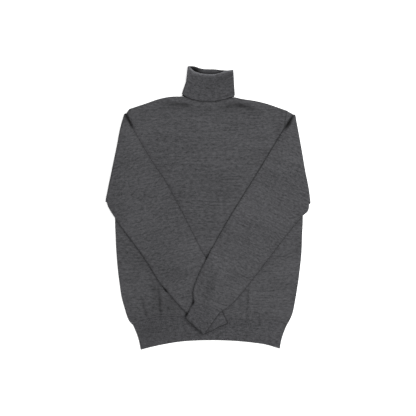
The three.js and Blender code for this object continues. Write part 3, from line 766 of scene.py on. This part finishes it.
def collarProfile():
    # the folded wall in section: part, how far along its height, shift, distance out, ribbed
    rows = [("stand", up, 0, 0.0, min(1.0, up * 4)) for up in np.linspace(0, 1, 15)]
    for angle in np.radians([18, 36, 54, 72, 90, 108, 126, 144, 162]):
        rows.append(("roll", collarRoll * math.sin(angle), 0, collarRoll * (1 - math.cos(angle)), 1.0))
    rows += [("turned", up, 0, collarOut, 1.0) for up in np.linspace(0, 0.975, 17)]
    inside = collar["wall"] + collar["layerGap"]
    for angle in np.radians([20, 45, 70, 90, 110, 135, 160]):
        rows.append((
            "turned", 0.975, 1.7 * math.sin(angle),
            (collarOut + inside) / 2 + (collarOut - inside) / 2 * math.cos(angle), 0.5 * math.cos(angle)))
    rows += [("turned", up, 0, inside, 0.0) for up in np.linspace(0.975, 0, 10)]
    for angle in np.radians([150, 90, 30]):
        radius = collar["layerGap"] / 2
        rows.append(("roll", radius * math.sin(angle), 0, collarRoll - radius * math.cos(angle), 0.0))
    rows += [("stand", up, 0, collar["wall"], 0.0) for up in np.linspace(1, 0, 10)]
    return rows


def makeCollar():
    across, side, ribs = collarColumns()
    front = (side + 1) / 2
    left, right = softTable(collar["left"], 5), softTable(collar["right"], 5)
    backFold, frontFold = softTable(collar["backFold"], 5), softTable(collar["frontFold"], 5)
    standBack, standFront = softTable(collar["standBack"], 3), softTable(collar["standFront"], 4)
    waves = softWaves(collar["seed"], 46)
    centre = lambda y: (left(y) + right(y)) / 2
    acrossAt = lambda y, out: centre(y) + ((right(y) - left(y)) / 2 - collarOut + out) * across
    rings, uvs, proud, paintedShading = [], [], [], []
    length = np.zeros(len(across))
    before = None
    for part, up, shift, out, ribbed in collarProfile():
        foldX, neckX = acrossAt(collar["foldLevel"], out), acrossAt(neck["level"], out)
        foldY = mix(backFold(foldX), frontFold(foldX), front) - collarRoll
        seamY = mix(neckLine(neckX, neck["backDrop"]), neckLine(neckX, neck["frontDrop"]), front) + 0.7
        edgeY = mix(collar["backEdge"], collarEdge(neckX), front)
        if part == "stand":
            y = mix(seamY, foldY, up)
        elif part == "roll":
            y = foldY + up
        else:
            y = np.maximum(mix(foldY, edgeY, up) - shift, edgeY)
        back, lifted = standBack(y), standFront(y)
        crest = collar["relief"] * np.clip(side, 0, 1) ** 2 * max(0.0, (out / collarOut - 0.5) * 2)
        x = acrossAt(y, out)
        z = (back + lifted) / 2 + ((lifted - back) / 2 + out) * side + crest
        soft = (foldHeight(collar["folds"], x, y) + collar["waves"] * waves(x, y)) * np.clip(side, 0, 1)
        loose = {"stand": 0, "roll": max(0.0, out / collarOut), "turned": 1}[part]
        z = z + soft * loose * easeStep(y, 306, 330)
        ring = np.stack([x, y, z], -1)
        if before is not None:
            length = length + np.linalg.norm(ring - before, axis=1)
        before = ring
        rings.append(ring)
        uvs.append(np.append(length, length[0]))
        proud.append(np.full(len(across), ribbed))
        # painted shadow inside the mouth, darkest just above the front fold; on the rest, a painted
        # highlight along the fold, painted shade at the ends, a darker tone and painted shade over the
        # face, and painted shade along the lower edge
        if part == "stand":
            above = np.clip(y - frontFold(x), 0, None) / collar["mouthDepth"]
            shade = collar["mouthTone"] + collar["mouthFold"] * np.exp(-above ** 2)
            shade = shade + foldHeight(collar["mouthShade"], x, y)
        else:
            down = up * collar["turnedHeight"] if part == "turned" else 0.0
            light = collar["rimLight"] * front * math.exp(-(down / collar["rimReach"]) ** 2)
            ends = collar["endShade"] * easeStep(np.abs(across), 0.965, 1) * easeStep(down, 2, 12)
            shade = ends - light - foldHeight(collar["rimGlow"], x, y)
            shade = shade + collar["faceTone"] + foldHeight(collar["faceShade"], x, y)
            shade = np.maximum(shade, collar["edgeShade"]) if shift > 0 else shade
        paintedShading.append(np.clip(shade, -2, 1.4))
    closing = np.append(length + np.linalg.norm(rings[0] - rings[-1], axis=1), 0)
    closing[-1] = closing[0]
    points = np.array(rings)
    count, columns = points.shape[:2]
    edgeRow = [part for part, *_ in collarProfile()].index("turned") + 16
    index = np.arange(count * columns).reshape(count, columns)
    index = np.vstack([np.hstack([index, index[:, :1]]), np.append(index[0], index[0, 0])])
    along = np.vstack([np.array(uvs), closing]) - uvs[edgeRow]  # courses run level with that edge
    pitch = collar["pitch"]
    total = np.append(ribs, collar["faceRibs"] * 2 + collar["endRibs"] * 2) * pitch
    uv = np.stack([np.tile(total, (count + 1, 1)), along], -1)
    uvIndex = np.arange((count + 1) * (columns + 1)).reshape(count + 1, columns + 1)
    marks = {
        "across": np.tile(ribs * pitch * mm, (count, 1)), "proud": np.array(proud),
        "paintedShading": np.array(paintedShading)}
    corners = (uv.reshape(-1, 2) * mm)[gridQuads(uvIndex)]
    return addMesh("collarRib", points.reshape(-1, 3), gridQuads(index), corners, marks)


# Node helpers, for shader trees and geometry trees alike

def fill(tree, node, inputs):
    # links each input that is given a socket, and sets the others
    for key, value in inputs.items():
        if isinstance(value, bpy.types.NodeSocket):
            tree.links.new(value, node.inputs[key])
        else:
            node.inputs[key].default_value = value
    return node


def addNode(tree, kind, inputs=None, **settings):
    node = tree.nodes.new(kind)
    for name, value in settings.items():
        setattr(node, name, value)
    return fill(tree, node, inputs or {})


def calc(tree, operation, *values, clamp=False):
    inputs = dict(enumerate(values))
    return addNode(tree, "ShaderNodeMath", inputs, operation=operation, use_clamp=clamp).outputs[0]


def scaled(tree, vector, factor):
    inputs = {0: vector, "Scale": factor}
    return addNode(tree, "ShaderNodeVectorMath", inputs, operation="SCALE").outputs[0]


def newTree(name, kind, sockets):
    tree = bpy.data.node_groups.new(name, kind)
    for label, direction, socketType, value in sockets:
        socket = tree.interface.new_socket(name=label, in_out=direction, socket_type=socketType)
        if value is not None:
            socket.default_value = value
    return tree, tree.nodes.new("NodeGroupInput").outputs, tree.nodes.new("NodeGroupOutput")


def newMaterial(name):
    material = bpy.data.materials.new(name)
    material.use_nodes = True
    return material, material.node_tree, material.node_tree.nodes["Principled BSDF"]


# Shader groups: the mixed grey of the yarn, and the stitches of plain knit

def melangeYarn():
    tree, given, result = newTree("melangeYarn", "ShaderNodeTree", [
        ("Cloth", "INPUT", "NodeSocketVector", None),
        ("Dark Yarn", "INPUT", "NodeSocketColor", (0.03, 0.03, 0.031, 1)),
        ("Light Yarn", "INPUT", "NodeSocketColor", (0.12, 0.12, 0.122, 1)),
        ("Streak Length", "INPUT", "NodeSocketFloat", 0.010),
        ("Streak Height", "INPUT", "NodeSocketFloat", 0.0028),
        ("Streak Strength", "INPUT", "NodeSocketFloat", 0.6),
        ("Fleck Strength", "INPUT", "NodeSocketFloat", 0.3),
        ("Course Strength", "INPUT", "NodeSocketFloat", 0.3),
        ("Cloud Strength", "INPUT", "NodeSocketFloat", 0.15),
        ("Colour", "OUTPUT", "NodeSocketColor", None),
        ("Shade", "OUTPUT", "NodeSocketFloat", None),
    ])
    parts = addNode(tree, "ShaderNodeSeparateXYZ", {0: given["Cloth"]}).outputs

    def noise(width, height, detail, roughness, shift):
        place = addNode(tree, "ShaderNodeCombineXYZ", {
            0: calc(tree, "DIVIDE", parts[0], width), 1: calc(tree, "DIVIDE", parts[1], height),
            2: shift})
        inputs = {
            "Vector": place.outputs[0], "Scale": 1.0, "Detail": detail, "Roughness": roughness}
        texture = addNode(tree, "ShaderNodeTexNoise", inputs, noise_dimensions="3D")
        return calc(tree, "SUBTRACT", texture.outputs[0], 0.5)

    layers = {
        "Streak Strength": noise(given["Streak Length"], given["Streak Height"], 2.0, 0.6, 3.1),
        "Fleck Strength": noise(0.0026, 0.0009, 1.0, 0.6, 11.7),
        "Course Strength": noise(0.07, 0.0036, 1.0, 0.5, 19.4),
        "Cloud Strength": noise(0.11, 0.07, 2.0, 0.5, 27.3),
    }
    shade = 0.0
    for label, layer in layers.items():
        shade = calc(tree, "MULTIPLY_ADD", layer, given[label], shade)
    shade = calc(tree, "ADD", shade, 0.5, clamp=True)
    blend = addNode(tree, "ShaderNodeMix", data_type="RGBA")
    fill(tree, blend, {"Factor": shade, 6: given["Dark Yarn"], 7: given["Light Yarn"]})
    fill(tree, result, {"Colour": blend.outputs[2], "Shade": shade})
    return tree


def knitStitch():
    # rows of small Vs: legs that rise outwards from the middle of each wale
    tree, given, result = newTree("knitStitch", "ShaderNodeTree", [
        ("Cloth", "INPUT", "NodeSocketVector", None),
        ("Wale Width", "INPUT", "NodeSocketFloat", 0.0015),
        ("Course Height", "INPUT", "NodeSocketFloat", 0.0011),
        ("Fuzz", "INPUT", "NodeSocketFloat", 0.25),
        ("Height", "OUTPUT", "NodeSocketFloat", None),
    ])
    parts = addNode(tree, "ShaderNodeSeparateXYZ", {0: given["Cloth"]}).outputs
    wale = calc(tree, "FRACT", calc(tree, "DIVIDE", parts[0], given["Wale Width"]))
    aside = calc(tree, "ABSOLUTE", calc(tree, "SUBTRACT", wale, 0.5))
    legOffset = calc(tree, "MULTIPLY", calc(tree, "SUBTRACT", aside, 0.25), 4.0)
    leg = calc(tree, "SUBTRACT", 1.0, calc(tree, "MULTIPLY", legOffset, legOffset), clamp=True)
    course = calc(tree, "DIVIDE", parts[1], given["Course Height"])
    phase = calc(tree, "FRACT", calc(tree, "MULTIPLY_ADD", aside, -1.5, course))
    turn = calc(tree, "MULTIPLY_ADD", phase, 2.0, -1.0)
    loop = calc(tree, "SUBTRACT", 1.0, calc(tree, "MULTIPLY", turn, turn), clamp=True)
    height = calc(tree, "MULTIPLY", leg, calc(tree, "MULTIPLY_ADD", loop, 0.75, 0.25))
    inputs = {"Vector": given["Cloth"], "Scale": 2600.0, "Detail": 2.0}
    fibre = addNode(tree, "ShaderNodeTexNoise", inputs, noise_dimensions="3D")
    rough = calc(tree, "MULTIPLY", calc(tree, "SUBTRACT", fibre.outputs[0], 0.5), given["Fuzz"])
    fill(tree, result, {"Height": calc(tree, "ADD", calc(tree, "SQRT", height), rough)})
    return tree


yarnGroup = melangeYarn()
stitchGroup = knitStitch()

jerseyFinish = {
    "name": "jerseyKnit",
    "yarn": {
        "Dark Yarn": (0.0152, 0.0152, 0.0162, 1), "Light Yarn": (0.0895, 0.0892, 0.0948, 1),
        "Streak Length": 0.0105, "Streak Height": 0.0046, "Streak Strength": 1.1,
        "Fleck Strength": 0.9, "Course Strength": 0.4, "Cloud Strength": 0.35,
    },
    "stitch": {"Wale Width": 0.0015, "Course Height": 0.0011, "Fuzz": 0.3},
}
ribFinish = {
    "name": "ribKnit",
    "yarn": {
        "Dark Yarn": (0.014, 0.014, 0.015, 1), "Light Yarn": (0.0845, 0.0843, 0.0904, 1),
        "Streak Length": 0.0095, "Streak Height": 0.0046, "Streak Strength": 1.2,
        "Fleck Strength": 1.0, "Course Strength": 0.25, "Cloud Strength": 0.35,
    },
    "stitch": {"Wale Width": 0.0022, "Course Height": 0.0012, "Fuzz": 0.3},
}
# How light falls on both knits, how strong the painted shade in the gaps between stitches is, and how
# strong the painted shade and painted light of the shading mark are
knitLook = {
    "relief": 0.0004, "bump": 0.5, "roughness": 0.96, "yarnRoughness": -0.12, "gapShade": 0.3,
    "paintedShadeStrength": 0.68,
    "surface": {"Specular IOR Level": 0.12, "Sheen Weight": 0.05, "Sheen Roughness": 0.55},
}


def knitMaterial(finish):
    material, tree, shader = newMaterial(finish["name"])
    cloth = addNode(tree, "ShaderNodeUVMap", uv_map="knit").outputs[0]
    yarn, stitch = (
        addNode(tree, "ShaderNodeGroup", node_tree=group) for group in (yarnGroup, stitchGroup))
    fill(tree, yarn, {"Cloth": cloth, **finish["yarn"]})
    fill(tree, stitch, {"Cloth": cloth, **finish["stitch"]})
    height, gap = stitch.outputs["Height"], knitLook["gapShade"]
    # the mark paints shade into the colour above 0 and paints light below 0, and the gaps between stitches
    # get painted shade
    paintedShading = addNode(tree, "ShaderNodeAttribute", attribute_name="paintedShading").outputs["Fac"]
    paintedShadeFactor = calc(tree, "MULTIPLY_ADD", paintedShading, -knitLook["paintedShadeStrength"], 1.0)
    light = calc(tree, "MULTIPLY", calc(tree, "MULTIPLY_ADD", height, gap, 1 - gap), paintedShadeFactor)
    bump = addNode(tree, "ShaderNodeBump", {
        "Strength": knitLook["bump"], "Distance": knitLook["relief"], "Height": height})
    fill(tree, shader, {
        "Base Color": scaled(tree, yarn.outputs["Colour"], light),
        "Roughness": calc(
            tree, "MULTIPLY_ADD", yarn.outputs["Shade"], knitLook["yarnRoughness"],
            knitLook["roughness"]),
        "Normal": bump.outputs[0], **knitLook["surface"]})
    return material


threadFinish = {
    "name": "linkingYarn", "twists": 500.0, "bump": 0.4, "relief": 0.0002,
    "roughness": 0.95, "yarnRoughness": -0.1,
    "yarn": {"Dark Yarn": (0.015, 0.015, 0.0155, 1), "Light Yarn": (0.06, 0.06, 0.0612, 1)},
    "surface": {"Specular IOR Level": 0.25, "Sheen Weight": 0.1},
}


def threadMaterialFrom(finish):
    # the linking yarn has no knit of its own, so its twist is read from its place
    material, tree, shader = newMaterial(finish["name"])
    place = addNode(tree, "ShaderNodeTexCoord").outputs["Object"]
    yarn = addNode(tree, "ShaderNodeGroup", node_tree=yarnGroup)
    fill(tree, yarn, {"Cloth": place, **finish["yarn"]})
    twist = addNode(tree, "ShaderNodeTexWave", wave_type="BANDS", bands_direction="DIAGONAL")
    fill(tree, twist, {"Vector": place, "Scale": finish["twists"]})
    bump = addNode(tree, "ShaderNodeBump", {
        "Strength": finish["bump"], "Distance": finish["relief"], "Height": twist.outputs["Fac"]})
    fill(tree, shader, {
        "Base Color": yarn.outputs["Colour"],
        "Roughness": calc(
            tree, "MULTIPLY_ADD", yarn.outputs["Shade"], finish["yarnRoughness"],
            finish["roughness"]),
        "Normal": bump.outputs[0], **finish["surface"]})
    return material


jerseyMaterial = knitMaterial(jerseyFinish)
ribMaterial = knitMaterial(ribFinish)
threadMaterial = threadMaterialFrom(threadFinish)
print("materials made")


# Geometry Nodes: furrows pressed into the ribbed pieces, and the linking stitches of the seams

def endTree(tree, geometry, given, result):
    # the last steps of both trees
    last = geometry
    for kind in ("GeometryNodeRealizeInstances", "GeometryNodeSetShadeSmooth"):
        last = addNode(tree, kind, {0: last}).outputs[0]
    finish = addNode(tree, "GeometryNodeSetMaterial", {"Geometry": last, "Material": given["Material"]})
    fill(tree, result, {"Geometry": finish.outputs[0]})
    return tree


def ribFurrows():
    tree, given, result = newTree("ribFurrows", "GeometryNodeTree", [
        ("Geometry", "INPUT", "NodeSocketGeometry", None),
        ("Rib Pitch", "INPUT", "NodeSocketFloat", 0.0044),
        ("Furrow Depth", "INPUT", "NodeSocketFloat", 0.0005),
        ("Furrow Sharpness", "INPUT", "NodeSocketFloat", 2.4),
        ("Unevenness", "INPUT", "NodeSocketFloat", 0.35),
        ("Seed", "INPUT", "NodeSocketFloat", 4.0),
        ("Material", "INPUT", "NodeSocketMaterial", None),
        ("Geometry", "OUTPUT", "NodeSocketGeometry", None),
    ])
    across, proud = (
        addNode(tree, "GeometryNodeInputNamedAttribute", {"Name": label}, data_type="FLOAT")
        .outputs["Attribute"] for label in ("across", "proud"))
    turn = calc(tree, "MULTIPLY", calc(tree, "DIVIDE", across, given["Rib Pitch"]), math.pi)
    wave = calc(tree, "ABSOLUTE", calc(tree, "COSINE", turn))
    furrow = calc(tree, "POWER", wave, given["Furrow Sharpness"])
    texture = addNode(tree, "ShaderNodeTexNoise", noise_dimensions="4D")
    place = addNode(tree, "GeometryNodeInputPosition").outputs[0]
    fill(tree, texture, {"Vector": place, "W": given["Seed"], "Scale": 160.0})
    uneven = calc(tree, "SUBTRACT", 1.0, calc(tree, "MULTIPLY", texture.outputs[0], given["Unevenness"]))
    depth = calc(tree, "MULTIPLY", calc(tree, "MULTIPLY", furrow, uneven), proud)
    depth = calc(tree, "MULTIPLY", depth, given["Furrow Depth"])
    normal = addNode(tree, "GeometryNodeInputNormal").outputs[0]
    inwards = scaled(tree, normal, calc(tree, "MULTIPLY", depth, -1.0))
    move = addNode(tree, "GeometryNodeSetPosition", {"Geometry": given["Geometry"], "Offset": inwards})
    return endTree(tree, move.outputs[0], given, result)


def seamLinks():
    tree, given, result = newTree("seamLinks", "GeometryNodeTree", [
        ("Geometry", "INPUT", "NodeSocketGeometry", None),
        ("Stitch Spacing", "INPUT", "NodeSocketFloat", 0.003),
        ("Stitch Length", "INPUT", "NodeSocketFloat", 0.0028),
        ("Yarn Thickness", "INPUT", "NodeSocketFloat", 0.0009),
        ("Lean", "INPUT", "NodeSocketFloat", 0.35),
        ("Seed", "INPUT", "NodeSocketInt", 3),
        ("Material", "INPUT", "NodeSocketMaterial", None),
        ("Geometry", "OUTPUT", "NodeSocketGeometry", None),
    ])
    lines = addNode(tree, "GeometryNodeMeshToCurve", {0: given["Geometry"]})
    points = addNode(tree, "GeometryNodeCurveToPoints", mode="LENGTH")
    fill(tree, points, {"Curve": lines.outputs[0], "Length": given["Stitch Spacing"]})
    ball = addNode(tree, "GeometryNodeMeshUVSphere", {"Segments": 6, "Rings": 5, "Radius": 0.5})
    thickness = given["Yarn Thickness"]
    size = addNode(tree, "ShaderNodeCombineXYZ", {0: given["Stitch Length"], 1: thickness, 2: thickness})
    stitch = addNode(tree, "GeometryNodeTransform", {
        "Geometry": ball.outputs["Mesh"], "Scale": size.outputs[0]})
    aim = addNode(
        tree, "FunctionNodeAlignRotationToVector", {"Vector": points.outputs["Tangent"]}, axis="X")
    vary = addNode(tree, "FunctionNodeRandomValue", data_type="FLOAT")
    fill(tree, vary, {2: -0.18, 3: 0.18, "Seed": given["Seed"]})
    lean = calc(tree, "ADD", vary.outputs[1], given["Lean"])
    twist = addNode(tree, "ShaderNodeCombineXYZ", {2: lean})
    turned = addNode(tree, "FunctionNodeRotateRotation", rotation_space="LOCAL")
    fill(tree, turned, {0: aim.outputs[0], 1: twist.outputs[0]})
    copies = addNode(tree, "GeometryNodeInstanceOnPoints", {
        "Points": points.outputs["Points"], "Instance": stitch.outputs[0],
        "Rotation": turned.outputs[0]})
    return endTree(tree, copies.outputs[0], given, result)


def bakeNodes(piece, tree, values):
    # runs a geometry tree on a piece and keeps the result as its plain mesh
    modifier = piece.modifiers.new(tree.name, "NODES")
    modifier.node_group = tree
    for item in tree.interface.items_tree:
        if item.item_type == "SOCKET" and item.in_out == "INPUT" and item.name in values:
            modifier[item.identifier] = values[item.name]
    bpy.context.view_layer.update()
    shaped = piece.evaluated_get(bpy.context.evaluated_depsgraph_get())
    mesh = bpy.data.meshes.new_from_object(shaped)
    piece.modifiers.clear()
    old, piece.data = piece.data, mesh
    bpy.data.meshes.remove(old)
    mesh.name = piece.name
    return piece


furrowTree = ribFurrows()
linkTree = seamLinks()


def pressRibs(piece, pitch, depth, seed):
    return bakeNodes(piece, furrowTree, {
        "Rib Pitch": pitch * mm, "Furrow Depth": depth * mm, "Furrow Sharpness": 2.4,
        "Unevenness": 0.35, "Seed": float(seed), "Material": ribMaterial})


# The pieces

def dress(piece, material):
    piece.data.materials.clear()
    piece.data.materials.append(material)
    return piece


frontPiece = dress(bodyFront(), jerseyMaterial)
backPiece = dress(bodyBack(), jerseyMaterial)
print("body made")
rightTube = dress(sleeveTube("rightSleeveKnit", rightSleeve, restRightSleeve), jerseyMaterial)
leftTube = dress(sleeveTube("leftSleeveKnit", leftSleeve, restLeftSleeve), jerseyMaterial)
print("sleeves made")
hemFront = pressRibs(hemRib("hemFrontRib", True), hem["pitch"], 0.55, 4)
hemBack = pressRibs(hemRib("hemBackRib", False), hem["pitch"], 0.45, 9)
rightCuff = pressRibs(cuffTube("rightCuffRib", rightSleeve, restRightSleeve), sleeve["cuffPitch"], 0.5, 14)
leftCuff = pressRibs(cuffTube("leftCuffRib", leftSleeve, restLeftCuff), sleeve["cuffPitch"], 0.5, 19)
collarPiece = pressRibs(makeCollar(), collar["pitch"], 0.5, 24)
print("ribs made")

# Linking stitches, as lines over the seams: along both shoulders and armholes, and
# where the ribs join
links = {"spacing": 3.0, "length": 2.7, "thickness": 0.8, "lean": 0.35, "seed": 3, "sink": 0.2}


def seamLine(curve, count, level, offset=(0, 0)):
    plan = curve(np.linspace(0.004, 0.996, count)) + np.array(offset)
    return np.column_stack([plan, level(plan[:, 0], plan[:, 1]) - links["sink"]])


def seamStitches():
    frontLevel = lambda x, y: body["frontTop"] + frontLift(x, y) - body["seamDip"]
    armLevel = lambda x, y: body["frontTop"] - body["seamDip"] + 0 * x
    lines = [seamLine(hemSeamCurve, 160, lambda x, y: frontLevel(x, y) - 0.2, (0, -0.03))]
    for key, hand in (("armholeLeft", -1), ("armholeRight", 1)):
        lines.append(seamLine(curveThrough(body[key]), 100, armLevel, (hand * 0.05, 0)))
    for key in ("shoulderLeft", "shoulderRight"):
        lines.append(seamLine(curveThrough(body[key]), 60, lambda x, y: 2.2 + 0 * x, (0, -0.3)))
    for cut, rest in ((rightSleeve, restRightSleeve), (leftSleeve, restLeftSleeve)):
        ends = np.array([cut["overArm"][-1], cut["underArm"][-1]], float)
        inwards = (ends[1] - ends[0]) / np.linalg.norm(ends[1] - ends[0]) * 4
        chord = curveThrough([tuple(ends[0] + inwards), tuple(ends.mean(axis=0)), tuple(ends[1] - inwards)])
        top = lambda x, y, rest=rest: rest(x, y) + 2 * sleeve["half"]
        lines.append(seamLine(chord, 24, top))
    points, edges = [], []
    for line in lines:
        first = sum(len(done) for done in points)
        edges += [(first + k, first + k + 1) for k in range(len(line) - 1)]
        points.append(line)
    mesh = bpy.data.meshes.new("seamStitches")
    mesh.from_pydata((np.vstack(points) * mm).tolist(), edges, [])
    return bakeNodes(placeObject("seamStitches", mesh), linkTree, {
        "Stitch Spacing": links["spacing"] * mm, "Stitch Length": links["length"] * mm,
        "Yarn Thickness": links["thickness"] * mm, "Lean": links["lean"], "Seed": links["seed"],
        "Material": threadMaterial})


stitchPiece = seamStitches()
print("seams linked")


# Floor and light
studio = {
    "floorSize": 30, "floorLevel": -0.0003, "world": 1.0,
    "paper": {
        "Base Color": (0.93, 0.93, 0.93, 1), "Roughness": 0.9, "Specular IOR Level": 0.1,
        "Emission Color": (1, 1, 1, 1), "Emission Strength": 0.3,
    },
    "lamp": 70, "lampSize": 2.0, "lampPlace": (1.9, 0.4, 2.2),
}


def makeStudio():
    size = studio["floorSize"] / 2
    mesh = bpy.data.meshes.new("paleFloor")
    corners = [(-size, -size), (size, -size), (size, size), (-size, size)]
    mesh.from_pydata([(x, y, studio["floorLevel"]) for x, y in corners], [], [(0, 1, 2, 3)])
    floor = placeObject("paleFloor", mesh)
    paper, tree, shader = newMaterial("palePaper")
    fill(tree, shader, studio["paper"])
    mesh.materials.append(paper)
    world = bpy.data.worlds.new("softRoom")
    world.use_nodes = True
    fill(world.node_tree, world.node_tree.nodes["Background"], {
        "Color": (1, 1, 1, 1), "Strength": studio["world"]})
    bpy.context.scene.world = world
    data = bpy.data.lights.new("softLamp", "AREA")
    data.shape = "DISK"
    data.size = studio["lampSize"]
    data.energy = studio["lamp"]
    lamp = placeObject("softLamp", data)
    lamp.location = studio["lampPlace"]
    lamp.rotation_euler = (-lamp.location).to_track_quat("-Z", "Y").to_euler()
    bpy.context.scene.view_settings.view_transform = "Standard"


makeStudio()
print("studio set")

# What each piece stands for, its finish, and the flat size of the cloth that shows
pieces = [
    (frontPiece, "body_front", "jersey", (0.53, 0.64), 0.295, "laid", ["body_back"]),
    (backPiece, "body_back", "jersey", (0.53, 0.64), 0.295, "laid", []),
    (hemFront, "hem_rib_front", "rib", (0.43, 0.09), 0.0295, "laid", ["hem_rib_back"]),
    (hemBack, "hem_rib_back", "rib", (0.43, 0.09), 0.0295, "laid", []),
    (rightTube, "sleeve_right", "jersey", (0.51, 0.60), 0.171, "folded", ["body_front"]),
    (leftTube, "sleeve_left", "jersey", (0.52, 0.60), 0.17, "folded", ["body_front", "sleeve_right"]),
    (rightCuff, "cuff_right", "rib", (0.185, 0.075), 0.0107, "laid", ["hem_rib_front"]),
    (leftCuff, "cuff_left", "rib", (0.165, 0.07), 0.0097, "laid", ["cuff_right", "hem_rib_front"]),
    (collarPiece, "collar", "rib", (0.29, 0.155), 0.042, "folded", ["body_front", "body_back"]),
]
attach(stitchPiece, "root")
for piece, node, slot, flat, area, held, restsOn in pieces:
    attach(piece, "root")
    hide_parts(node)
    print(piece.name, "placed,", len(piece.data.polygons), "faces")
